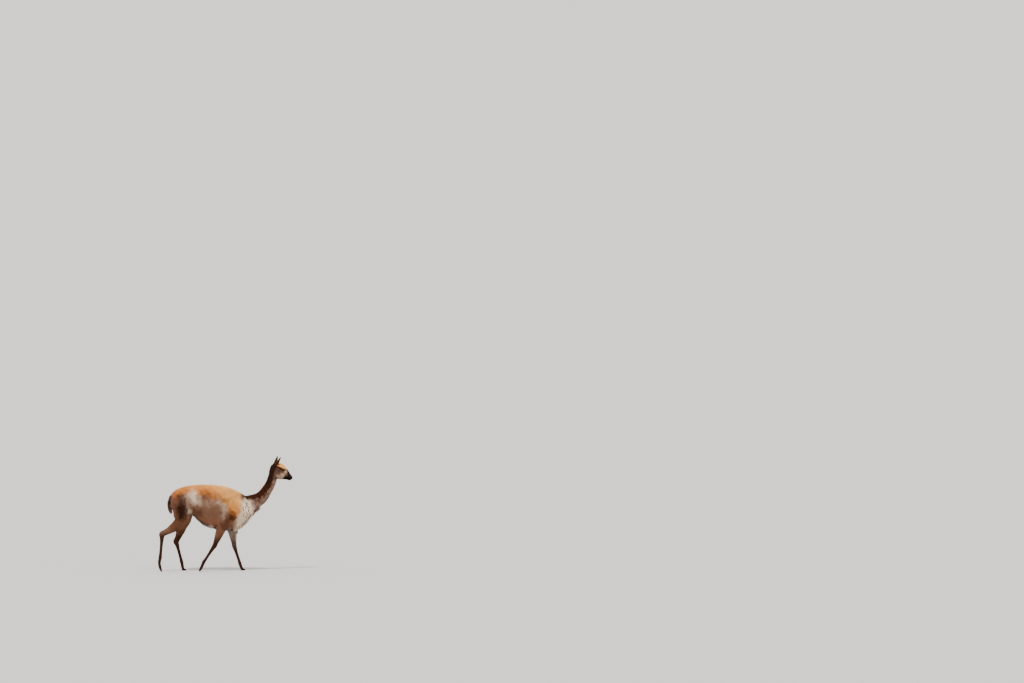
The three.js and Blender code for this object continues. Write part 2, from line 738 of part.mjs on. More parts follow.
const tailStations = tailRows.map(([x, z, girth]) => {
  const flesh = girth * tailCore;
  return station(x, 0, z, flesh, flesh, flesh);
});
const tailField = tube(tailStations, { start: 12, end: 10 });
const tailShape = { shares: evenShares(0.05, 0.97, 7), around: 10, dome: 2 };
const tail = castSkin(pathOf(tailStations), tailField, tailShape);
const hairyTail = joinAll(tail, growTiers(tailField, tailTiers, 11)).simplify(sliver);
put(largest(hairyTail.subtract(grownTrunk)), "tail", "dark_coat");

// The origin is on the floor under the middle of the whole animal
const box = new THREE.Box3().setFromObject(vicuna);
vicuna.position.set(-(box.min.x + box.max.x) / 2, -(box.min.y + box.max.y) / 2, -box.min.z);

export default vicuna;
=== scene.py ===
"""A vicuna in mid-walk: one skin under a coat of fine tufts, long pale hair on the chest and dark legs."""

import math

import bmesh
import bpy
import numpy as np
from mathutils import Matrix, Vector
from mathutils.bvhtree import BVHTree
from mathutils.kdtree import KDTree


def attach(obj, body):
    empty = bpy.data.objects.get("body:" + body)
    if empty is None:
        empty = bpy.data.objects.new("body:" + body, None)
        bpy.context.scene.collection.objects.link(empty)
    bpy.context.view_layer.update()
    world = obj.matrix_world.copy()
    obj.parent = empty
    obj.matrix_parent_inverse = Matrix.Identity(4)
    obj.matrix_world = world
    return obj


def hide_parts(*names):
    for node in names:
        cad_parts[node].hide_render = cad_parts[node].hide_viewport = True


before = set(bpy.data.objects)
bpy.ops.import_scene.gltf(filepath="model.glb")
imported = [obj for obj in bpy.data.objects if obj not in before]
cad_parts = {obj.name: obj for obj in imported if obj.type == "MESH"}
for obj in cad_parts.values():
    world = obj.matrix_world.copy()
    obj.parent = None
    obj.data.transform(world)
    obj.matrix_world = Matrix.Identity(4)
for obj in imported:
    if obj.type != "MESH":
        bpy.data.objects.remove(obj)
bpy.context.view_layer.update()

# Trunk, neck and upper legs under the coat
# The flesh of the animal, modelled as rounded tubes and masses that are melted into one soft body. Its
# measures are those of the coated animal less the depth of the coat that grows on it.
MM = 0.001

# Along the body, back, belly and half breadth
TRUNK_ROWS = [
    [-535, 826, 640, 76], [-505, 846, 614, 102], [-460, 866, 597, 124], [-361, 889, 590, 147],
    [-276, 897, 532, 158], [-190, 896, 486, 163], [-60, 886, 454, 158], [60, 858, 446, 144],
    [140, 819, 482, 118], [200, 782, 528, 92], [250, 745, 580, 70],
]
TRUNK_MIDDLE = 680
# Along, up, depth to the nape and to the throat, half breadth
NECK_ROWS = [
    [180, 655, 108, 96, 84], [262, 700, 92, 78, 76], [329, 727, 80, 68, 70], [378, 766, 69, 64, 63],
    [426, 832, 59, 57, 55], [468, 905, 54, 54, 50], [492, 978, 50, 50, 48], [506, 1040, 46, 46, 45],
    [512, 1080, 40, 40, 40],
]
TRUNK_COAT = 6.5
NECK_COAT = [9, 9, 8, 7, 6, 5, 4, 2.5, 2]
LEG_COAT = 0.3
HEAD_COAT = 1.2
# Middle and radii of haunch and shoulder
MUSCLES = [((-462, 84, 705), (100, 56, 104)), ((58, 92, 640), (86, 46, 144))]
CURVE_STEPS = 4


def spline(rows):
    """Rows of numbers joined by a smooth curve that passes through each of them."""
    rows = np.array(rows, float)
    padded = np.vstack([2 * rows[0] - rows[1], rows, 2 * rows[-1] - rows[-2]])
    points = []
    for a, b, c, d in zip(padded, padded[1:], padded[2:], padded[3:]):
        for t in np.arange(CURVE_STEPS) / CURVE_STEPS:
            bend = (2 * a - 5 * b + 4 * c - d) * t**2 + (3 * b - 3 * c + d - a) * t**3
            points.append(0.5 * (2 * b + (c - a) * t + bend))
    return np.array([*points, rows[-1]])


def join_ring(bm, ring, before):
    """Bridges a circle to the edges of the one before it, if there is one, and gives its own edges."""
    edges = list({e for v in ring for e in v.link_edges})
    if before:
        bmesh.ops.bridge_loops(bm, edges=before + edges)
    return edges


def add_tube(bm, rows, less=0.0, sides=28, power=2.0, ends=(0.5, 0.5)):
    """A tube of bridged circles along rows of x, y, z, girth up, girth down and half breadth, in mm."""
    path = spline(rows)
    path[:, 3:] = np.maximum(path[:, 3:] - less, 1.0)
    lead = np.gradient(path[:, :3], axis=0)
    lead /= np.linalg.norm(lead, axis=1)[:, None]
    stations = [(path[0], lead[0], -ends[0], turn) for turn in (75, 50, 25)]
    stations += [(row, way, 0, 0) for row, way in zip(path, lead)]
    stations += [(path[-1], lead[-1], ends[1], turn) for turn in (25, 50, 75)]
    before = None
    for row, way, end, turn in stations:
        way = Vector(way)
        rise = way.cross(Vector((0, 1, 0))).normalized()
        side = rise.cross(way)
        size, reach = math.cos(math.radians(turn)), end * math.sin(math.radians(turn))
        middle = Vector(row[:3]) + way * reach * min(row[3], row[5])
        ring = bmesh.ops.create_circle(bm, segments=sides, radius=1)["verts"]
        for v in ring:
            c, s = v.co.x, v.co.y
            full = (abs(c) ** power + abs(s) ** power) ** (-1 / power) * size
            v.co = middle + rise * c * full * (row[3] if c > 0 else row[4]) + side * s * full * row[5]
        edges = join_ring(bm, ring, before)
        if before is None:
            bmesh.ops.contextual_create(bm, geom=ring)
        before = edges
    bmesh.ops.contextual_create(bm, geom=ring)


def add_mass(bm, at, radii, turn=0.0):
    """An oval mass of muscle or bone, its long axis turned in the side view."""
    place = Matrix.Translation(at) @ Matrix.Rotation(math.radians(turn), 4, "Y")
    bmesh.ops.create_icosphere(bm, subdivisions=4, radius=1, matrix=place @ Matrix.Diagonal((*radii, 1)))


def add_object(name, data):
    """An object of the scene that shows these data."""
    made = bpy.data.objects.new(name, data)
    bpy.context.scene.collection.objects.link(made)
    return made


def to_object(bm, name, scale=MM):
    """The modelled form as an object at the origin, in metres."""
    bmesh.ops.scale(bm, vec=(scale,) * 3, verts=bm.verts)
    bmesh.ops.recalc_face_normals(bm, faces=bm.faces)
    mesh = bpy.data.meshes.new(name)
    bm.to_mesh(mesh)
    bm.free()
    return add_object(name, mesh)


def settle(piece, *modifiers):
    """Adds each modifier with its settings and applies them all to the piece's mesh."""
    for kind, settings in modifiers:
        modifier = piece.modifiers.new(kind, kind)
        for key, value in settings.items():
            setattr(modifier, key, value)
    graph = bpy.context.evaluated_depsgraph_get()
    mesh = bpy.data.meshes.new_from_object(piece.evaluated_get(graph), depsgraph=graph)
    piece.modifiers.clear()
    old, piece.data = piece.data, mesh
    bpy.data.meshes.remove(old)
    return piece


def melt(size_mm, times):
    """Modifiers that melt overlapping forms into one skin of this grain, and soften it so many times."""
    remesh = ("REMESH", {"mode": "VOXEL", "voxel_size": size_mm * MM, "use_smooth_shade": True})
    return remesh, ("SMOOTH", {"factor": 0.5, "iterations": times})


trunk_form = bmesh.new()
trunk_rows = [
    [x, 0, TRUNK_MIDDLE, back - TRUNK_MIDDLE, TRUNK_MIDDLE - belly, half]
    for x, back, belly, half in TRUNK_ROWS
]
neck_rows = [
    [x, 0, z, *(girth - coat for girth in girths)] for (x, z, *girths), coat in zip(NECK_ROWS, NECK_COAT)
]
add_tube(trunk_form, trunk_rows, TRUNK_COAT, sides=48, power=2.3, ends=(0.4, 0.6))
add_tube(trunk_form, neck_rows, sides=36, ends=(0.6, 0.6))
for side in (-1, 1):
    for (x, y, z), radii in MUSCLES:
        add_mass(trunk_form, (x, y * side, z), [r - TRUNK_COAT * 0.6 for r in radii])
# Along, up and girth of the tail, down to where its bone ends
TAIL_ROWS = [
    [-520, 808, 19], [-552, 786, 22], [-574, 742, 25], [-580, 690, 26], [-573, 642, 23], [-562, 604, 15],
]
tail_bone = [[x, 0, z, girth * 0.45, girth * 0.45, girth * 0.5] for x, z, girth in TAIL_ROWS]
add_tube(trunk_form, tail_bone, sides=16)

# Legs and toes under their short hair
# Slender legs with flat knees and hocks. Each has two toes on soft pads. The skin runs over them in one
# piece with the trunk.
LEGS = {
    "foreleg_right": {
        "side": -1, "kind": "fore",
        "joints": [[64, 640], [-18, 500], [-112, 268], [-226, 94]],
        "toes": [[-226, 94], [-243, 55], [-259, 22], [-268, 9]],
    },
    "foreleg_left": {
        "side": 1, "kind": "fore",
        "joints": [[108, 640], [62, 492], [92, 256], [150, 74]],
        "toes": [[150, 74], [163, 36], [178, 10], [197, 8]],
    },
    "hindleg_right": {
        "side": -1, "kind": "hind",
        "joints": [[-462, 715], [-420, 515], [-652, 385], [-674, 146]],
        "toes": [[-674, 146], [-684, 92], [-676, 42], [-664, 9]],
    },
    "hindleg_left": {
        "side": 1, "kind": "hind",
        "joints": [[-458, 715], [-412, 535], [-508, 300], [-454, 92]],
        "toes": [[-454, 92], [-446, 46], [-436, 11], [-416, 8]],
    },
}
# How far each joint lies from the middle plane, then rows of bone, share of its length, girth to front and
# back, and half breadth
GIRTHS = {
    "fore": {
        "offsets": [92, 84, 79, 76],
        "rows": [
            [0, 0, 60, 60, 40], [0, 0.6, 56, 58, 40], [1, 0, 50, 52, 38], [1, 0.3, 44, 46, 35],
            [1, 0.65, 34, 34, 28], [1, 0.88, 25, 25, 22], [2, 0, 26, 24, 23], [2, 0.16, 20, 21, 19],
            [2, 0.45, 15, 16, 15], [2, 0.8, 15, 15, 15], [3, 0, 17, 19, 18],
        ],
    },
    "hind": {
        "offsets": [82, 92, 82, 78],
        "rows": [
            [0, 0, 104, 100, 60], [0, 0.5, 98, 102, 62], [0, 0.85, 80, 116, 58], [1, 0.12, 62, 96, 48],
            [1, 0.4, 44, 58, 36], [1, 0.7, 32, 36, 27], [1, 0.9, 25, 32, 22], [2, 0, 24, 34, 22],
            [2, 0.14, 20, 24, 19], [2, 0.4, 15, 17, 15], [2, 0.8, 15, 16, 15], [3, 0, 17, 20, 18],
        ],
    },
}
# Depth of the coat row by row above the elbow or stifle, and heights between which trunk and leg overlap
THIGH_COAT = [9, 9, 8, 7, 6, 5, 4.5, 4.2, 4]
OVERLAP = (330, 500)
TOE_SPREAD = 13
TOE_GIRTHS = [17, 14.5, 13.5, 9]


def leg_rows(leg):
    """Rows of a leg's tube from hip or shoulder to the toes' root."""
    offsets, rows = GIRTHS[leg["kind"]]["offsets"], []
    for bone, share, front, back, half in GIRTHS[leg["kind"]]["rows"]:
        start, end = leg["joints"][bone], leg["joints"][min(bone + 1, 3)]
        y = offsets[bone] + (offsets[min(bone + 1, 3)] - offsets[bone]) * share
        x, z = (a + (b - a) * share for a, b in zip(start, end))
        rows.append([x, y * leg["side"], z, front, back, half])
    return rows


def toe_rows(leg, turn):
    """Rows of one toe's tube; turn is -1 for its right toe and 1 for its left."""
    middle = GIRTHS[leg["kind"]]["offsets"][3] * leg["side"]
    rows = []
    for i, ((x, z), girth) in enumerate(zip(leg["toes"], TOE_GIRTHS)):
        spread = TOE_SPREAD * turn * (0.5 if i == 0 else 1)
        rows.append([x, middle + spread, z, girth, girth, girth * (0.8 if i == 0 else 0.88)])
    return rows


for leg in LEGS.values():
    upper = [row for row in leg_rows(leg) if row[2] > OVERLAP[0]]
    thinned = [row[:3] + [g - coat for g in row[3:]] for row, coat in zip(upper, THIGH_COAT)]
    add_tube(trunk_form, thinned, 0, sides=24, ends=(0.6, 0.3))
body = settle(to_object(trunk_form, "body"), *melt(7, 14))

leg_form = bmesh.new()
for leg in LEGS.values():
    lower = [row for row in leg_rows(leg) if row[2] < OVERLAP[1]]
    add_tube(leg_form, lower, LEG_COAT, sides=24, ends=(0.4, 0.9))
    for turn in (-1, 1):
        add_tube(leg_form, toe_rows(leg, turn), -0.6, sides=16, ends=(0.6, 0.8))
bmesh.ops.bisect_plane(
    leg_form, geom=[*leg_form.verts, *leg_form.edges, *leg_form.faces],
    plane_co=(0, 0, 1.2), plane_no=(0, 0, -1), clear_outer=True,
)
bmesh.ops.holes_fill(leg_form, edges=[e for e in leg_form.edges if e.is_boundary], sides=0)
lower_legs = to_object(leg_form, "lower_legs")


def joined(*pieces):
    """The meshes of the pieces as one form."""
    bm = bmesh.new()
    for piece in pieces:
        bm.from_mesh(piece.data)
        bpy.data.objects.remove(piece)
    return bm


body = settle(to_object(joined(body, lower_legs), "body", 1.0), *melt(3, 5))

# Head
# A narrow, wedge-shaped head with a domed brow, full cheeks, a split upper lip and spear-shaped ears. It is
# modelled in its own frame, u along the face, w sideways and v up, and then set on the neck.
HEAD_AT = Vector((480, 0, 1052))
HEAD_DIP = 22.5
# Along the face, top, bottom, half breadth
HEAD_ROWS = [
    [-15, 45, -40, 37], [20, 70, -60, 47], [52, 88, -68, 53], [80, 96, -71, 53], [108, 85, -67, 45],
    [130, 73, -60, 36], [153, 61, -52, 30], [182, 41, -41, 25], [205, 29, -33, 24], [220, 20, -26, 20],
]
EYE_AT = (112, 33, 43)
EYE_RADIUS = 17
EYE_SLIT = (15.5, 9.5)
EYE_TILT = -12
# Middle and radii of brow, eye, cheek, nose and lip on each side, and of the chin
HEAD_MASSES = [
    ((104, 33, 48), (28, 14, 19)), (EYE_AT, (18.4, 18.4, 18.4)), ((76, 28, -28), (37, 21, 35)),
    ((213, 10, 2), (15, 12, 14)), ((209, 11, -12), (19, 10, 10)),
]
CHIN = (199, 0, -26), (22, 15, 10)
# How much flatter the opening between the lids gets towards its corners
LID_CORNER = 0.35
MOUTH = {"front": (240, -13), "corner": (150, -25)}
LIP_DEPTH, LIP_SWELL, CLEFT_DEPTH = 4.5, 1.4, 3.5
NOSTRIL = (224, 12, 9)
NOSTRIL_DEPTH = 8
# Each ear's root and tip
EARS = {"ear_right": [(514, -27, 1076), (579, -62, 1184)], "ear_left": [(501, 27, 1076), (547, 60, 1191)]}
head_place = Matrix.Translation(HEAD_AT) @ Matrix.Rotation(math.radians(HEAD_DIP), 4, "Y")

head_form = bmesh.new()
add_tube(
    head_form,
    [
        [u, 0, (top + bottom) / 2, (top - bottom) / 2, (top - bottom) / 2, half]
        for u, top, bottom, half in HEAD_ROWS
    ],
    HEAD_COAT, sides=40, power=2.1, ends=(0.1, 0.85),
)
for side in (-1, 1):
    for (x, y, z), radii in HEAD_MASSES:
        add_mass(head_form, (x, y * side, z), radii)
add_mass(head_form, *CHIN)
bmesh.ops.transform(head_form, matrix=head_place, verts=head_form.verts)
for root, tip in EARS.values():
    add_mass(head_form, Vector(root).lerp(Vector(tip), 0.18) + Vector((6, 0, 2)), (28, 16, 21))
add_tube(head_form, neck_rows[-5:], sides=36, ends=(0.6, 0.6))
head = settle(to_object(head_form, "head"), *melt(2.2, 10))
ear_form = bmesh.new()
for name in EARS:
    ear_form.from_mesh(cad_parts[name].data)
bmesh.ops.remove_doubles(ear_form, verts=ear_form.verts, dist=1e-5)
bmesh.ops.subdivide_edges(ear_form, edges=ear_form.edges, cuts=1, use_grid_fill=True, smooth=0.4)
ears = to_object(ear_form, "ears", 1.0)
head = settle(to_object(joined(head, ears), "head", 1.0), *melt(1.7, 3))

# The head and the body meet in the upper neck, where both follow the same rows
JOIN_AT = Vector((478, 0, 934)) * MM
JOIN_ALONG = Vector((math.cos(math.radians(66)), 0, math.sin(math.radians(66))))


def cut_open(piece, keep_above):
    """Cuts a piece across the neck and keeps the part above or below the cut, open there."""
    bm = bmesh.new()
    bm.from_mesh(piece.data)
    bmesh.ops.bisect_plane(
        bm, geom=[*bm.verts, *bm.edges, *bm.faces], plane_co=JOIN_AT,
        plane_no=-JOIN_ALONG if keep_above else JOIN_ALONG, clear_outer=True, dist=1e-6,
    )
    bm.to_mesh(piece.data)
    bm.free()
    return piece


body = settle(body, ("DECIMATE", {"ratio": 0.17}))
skin_form = joined(cut_open(body, False), cut_open(head, True))
bmesh.ops.bridge_loops(skin_form, edges=[e for e in skin_form.edges if e.is_boundary])
bmesh.ops.triangulate(skin_form, faces=[f for f in skin_form.faces if len(f.verts) > 3])
skin = to_object(skin_form, "skin", 1.0)
skin.data.shade_smooth()


def vertex_array(vectors, key):
    """The vectors of all vertices as an array."""
    values = np.empty(len(vectors) * 3, np.float32)
    vectors.foreach_get(key, values)
    return values.reshape(-1, 3).astype(float)


def smooth(low, high, value):
    """0 below low, 1 above high and a soft step between; low may be the greater."""
    t = np.clip((value - low) / (high - low), 0, 1)
    return t * t * (3 - 2 * t)


def head_coords(points):
    """Points in mm as u along the face, w sideways and v up."""
    inverse = np.array(head_place.inverted())
    return points @ inverse[:3, :3].T + inverse[:3, 3]


def up_ear(points):
    """How far up an ear points lie, 0 at its root and 1 at its tip, and below 0 off the ears."""
    share = np.full(len(points), -1.0)
    for root, tip in EARS.values():
        line = np.subtract(tip, root)
        along = (points - root) @ line / (line @ line)
        off = np.linalg.norm(points - root - along[:, None] * line, axis=1)
        share = np.where(off < 32, np.maximum(share, along), share)
    return share


def lip_line(u):
    """Height of the line between the lips at each place along the face."""
    (front_u, front_v), (corner_u, corner_v) = MOUTH["front"], MOUTH["corner"]
    lead = np.clip((u - corner_u) / (front_u - corner_u), 0, 1)
    return corner_v + (front_v - corner_v) * lead + 3.0 * np.sin(lead * math.pi)


# Lids, mouth line and nostrils are pressed into the head's skin
places = vertex_array(skin.data.vertices, "co") / MM
outward = vertex_array(skin.data.vertex_normals, "vector")
u, w, v = head_coords(places).T
near_head = (u > 60) & (u < 260)
ahead = np.array(head_place.to_3x3())
for side in (-1, 1):
    centre = np.array(EYE_AT) * (1, side, 1)
    from_eye = np.stack([u, w, v], 1) - centre
    tilt = math.radians(EYE_TILT)
    du = from_eye[:, 0] * math.cos(tilt) - from_eye[:, 2] * math.sin(tilt)
    dv = from_eye[:, 0] * math.sin(tilt) + from_eye[:, 2] * math.cos(tilt)
    across = du / EYE_SLIT[0]
    reach = np.hypot(across, dv / (EYE_SLIT[1] * (1 - LID_CORNER * np.clip(across, -1, 1) ** 2)))
    facing = near_head & (from_eye[:, 1] * side > 2)
    radius = np.linalg.norm(from_eye, axis=1)
    lid = facing & (reach < 1.75)
    target = np.where(reach < 1, EYE_RADIUS - 3.0, EYE_RADIUS + 1.9 * smooth(1.75, 1.15, reach))
    weight = np.where(reach < 1, 1, smooth(1.75, 1.3, reach))
    moved = from_eye * (target / np.maximum(radius, 1e-3))[:, None]
    shift = (moved - from_eye) * weight[:, None]
    places[lid] += shift[lid] @ ahead.T

    ahead_of, beside, above = (np.stack([u, w, v], 1) - np.array(NOSTRIL) * (1, side, 1)).T
    hole = (ahead_of / 8) ** 2 + (beside / 7) ** 2 + ((above - 0.5 * ahead_of) / 3.4) ** 2
    places -= outward * (NOSTRIL_DEPTH * np.exp(-hole) * near_head)[:, None]
off_line = np.hypot(v - lip_line(u), np.minimum(u - MOUTH["corner"][0], 0))
lips = np.exp(-((off_line / 1.8) ** 2)) * LIP_DEPTH - np.exp(-((off_line / 6.0) ** 2)) * LIP_SWELL
cleft = np.exp(-((w / 1.5) ** 2)) * smooth(206, 222, u) * smooth(14, 4, v) * smooth(-18, -12, v) * CLEFT_DEPTH
places -= outward * (near_head * (lips + cleft))[:, None]
places[:, 2] = np.maximum(places[:, 2], 1.0)
skin.data.vertices.foreach_set("co", (places * MM).astype(np.float32).ravel())
skin.data.update()

# Markings
# The colours of the coat: tan along the back, greyish brown on the flank, a cream bib, near-black neck and
# legs, partly their own colour and partly painted shade. The skin and every tuft on it take their colour from
# the same zones.


def linear(code):
    """A hex sRGB colour as linear red, green and blue."""
    parts = [int(code[i : i + 2], 16) / 255 for i in (0, 2, 4)]
    return np.array([c / 12.92 if c <= 0.04045 else ((c + 0.055) / 1.055) ** 2.4 for c in parts])


TAN, RUST, CREAM = linear("F4A457"), linear("C26E2E"), linear("FADFC2")
FLANK, BELLY, EARTH = linear("805B46"), linear("94624A"), linear("552F1C")
NEAR_BLACK, BUTTOCK_SHADOW_BROWN, MAUVE, PALE = linear("28140B"), linear("2A0E04"), linear("7A5140"), linear("DCC2AE")
LEG_BROWN, SHADED_INNER_WHITE, THIGH = linear("38200F"), linear("604C42"), linear("6A4630")
NECK_BROWN, SUNLIT_GOLD, UMBER = linear("3A1A0A"), linear("FFB96A"), linear("4A2410")
EAR_BROWN, EYE_SOCKET_SHADE, NOSE_GREY = linear("422516"), linear("261106"), linear("54443E")
MUZZLE, SHADED_CHEEK, SNOUT, CHEEK_PALE = linear("100806"), linear("634739"), linear("54362A"), linear("D2AE94")
# Lower edge of the saddle and of the neck's dark upper side, and rear edge of the bib
SADDLE_EDGE = [
    (-620, 815), (-508, 800), (-400, 815), (-300, 790), (-207, 806), (-92, 764), (10, 716), (72, 618),
    (150, 566),
]
DARK_BAND = [(150, 748), (190, 750), (290, 746), (370, 764), (430, 828), (480, 905), (500, 980), (505, 1060)]
BIB_REAR = [(450, 116), (600, 142), (700, 162)]
# Grain in mm and seed of each random pattern
PATTERNS = {"warp": (46, 77), "mottle": (26, 78), "streaks": (26, 79), "specks": (15, 80), "locks": (36, 81),
            "partings": (40, 82)}
WARP = 11
# Oval patches in painting order: tone, middle, radii, turn, softness of the rim and share, and for some the
# share that a pattern adds
FLANK_PATCHES = [
    (CREAM, (-36, 736), (92, 17), -27, 0.6, 0.4),
    (CREAM, (-140, 720), (80, 12), 0, 0.6, 0.25),
    (CREAM, (10, 692), (42, 48), 0, 0.6, 0.1, 0.4, "specks"),
    (PALE, (-6, 620), (20, 88), 0, 0.5, 0.15, 0.65, "hairs"),
    # Painted shade in the fold of the flank before the thigh
    (UMBER, (-292, 645), (88, 48), -38, 0.6, 0.6),
]
SADDLE_PATCHES = [
    # Painted sunlight on the top of the withers
    (SUNLIT_GOLD, (80, 810), (130, 76), 0, 0.6, 0.8),
    (EARTH, (20, 690), (90, 90), 0, 0.6, 0, 0.3, "streaks"),
    (UMBER, (-20, 780), (120, 46), 0, 0.6, 0.15, 0.3, "streaks"),
]
# On the hip, the thigh and the buttock, then round the elbow
LIMB_PATCHES = [
    (UMBER, (-428, 778), (78, 32), 4, 0.5, 0.45, 0.5, "streaks"),
    (PALE, (-392, 764), (30, 14), 0, 0.6, 0.7),
    (UMBER, (-215, 806), (100, 30), 8, 0.5, 0, 0.7, "streaks"),
    (CREAM, (-316, 800), (44, 52), 12, 0.5, 0, 1, "mottle"),
    (CREAM, (-282, 750), (52, 42), 0, 0.6, 0.25, 0.5, "specks"),
    (PALE, (-366, 700), (36, 66), 0, 0.6, 0, 0.4, "specks"),
    (THIGH, (-440, 500), (150, 120), 0, 0.3, 0.85),
    (MAUVE, (-550, 690), (38, 120), 0, 0.3, 0.9),
    (UMBER, (-496, 690), (26, 60), 0, 0.6, 0.5),
    (UMBER, (-500, 500), (60, 60), 0, 0.6, 0.4),
    # Painted shadow: the dark band down the thigh where the buttock and the tail shade it
    (BUTTOCK_SHADOW_BROWN, (-440, 648), (56, 104), -3, 0.4, 0.97),
    (CREAM, (-364, 630), (26, 22), 0, 0.6, 0.7),
    (UMBER, (10, 516), (92, 40), 48, 0.6, 0.75),
    (UMBER, (84, 584), (34, 52), 0, 0.5, 0.95),
    (MAUVE, (60, 452), (36, 30), 0, 0.6, 0.6),
]
# Along the face and up it: cheek, pale places below and before the eye and on the jaw, and painted shade of
# the eye socket as a dark streak through the eye
FACE_PATCHES = [
    (NECK_BROWN, (68, 18), (28, 15), 0, 0.6, 0.5),
    (CHEEK_PALE, (126, -8), (23, 17), 0, 0.6, 0.7),
    (CHEEK_PALE, (141, 33), (15, 17), 0, 0.6, 0.75),
    (CHEEK_PALE, (108, -36), (32, 16), 0, 0.6, 0.5),
    (EYE_SOCKET_SHADE, (90, 47), (40, 11), -4, 0.3, 1),
]
# Distance of the painted shade between the bib's locks over a full turn of its wave, and how it slants
GAP_WAVE = 4.4
GAP_SLANT = 0.52


def oval(x, z, centre, radii, turn, soft):
    """1 inside an oval of the side view, with a soft rim."""
    dx, dz = x - centre[0], z - centre[1]
    c, s = math.cos(math.radians(turn)), math.sin(math.radians(turn))
    return smooth(1 + soft, 1 - soft, np.hypot((dx * c + dz * s) / radii[0], (dz * c - dx * s) / radii[1]))


def level(x, corners):
    """Second number at x of a line through corners."""
    xs, zs = zip(*corners)
    return np.interp(x, xs, zs)


def ripple(spot, size, seed):
    """A soft random vector at each place, alike within about this many mm, that gathers hair in locks."""
    rng = np.random.default_rng(seed)
    waves = rng.normal(0, 3.4 / size, (10, 3))
    phase, way = rng.uniform(0, 2 * math.pi, 10), rng.normal(0, 0.45, (10, 3))
    return np.sin(spot @ waves.T + phase) @ way


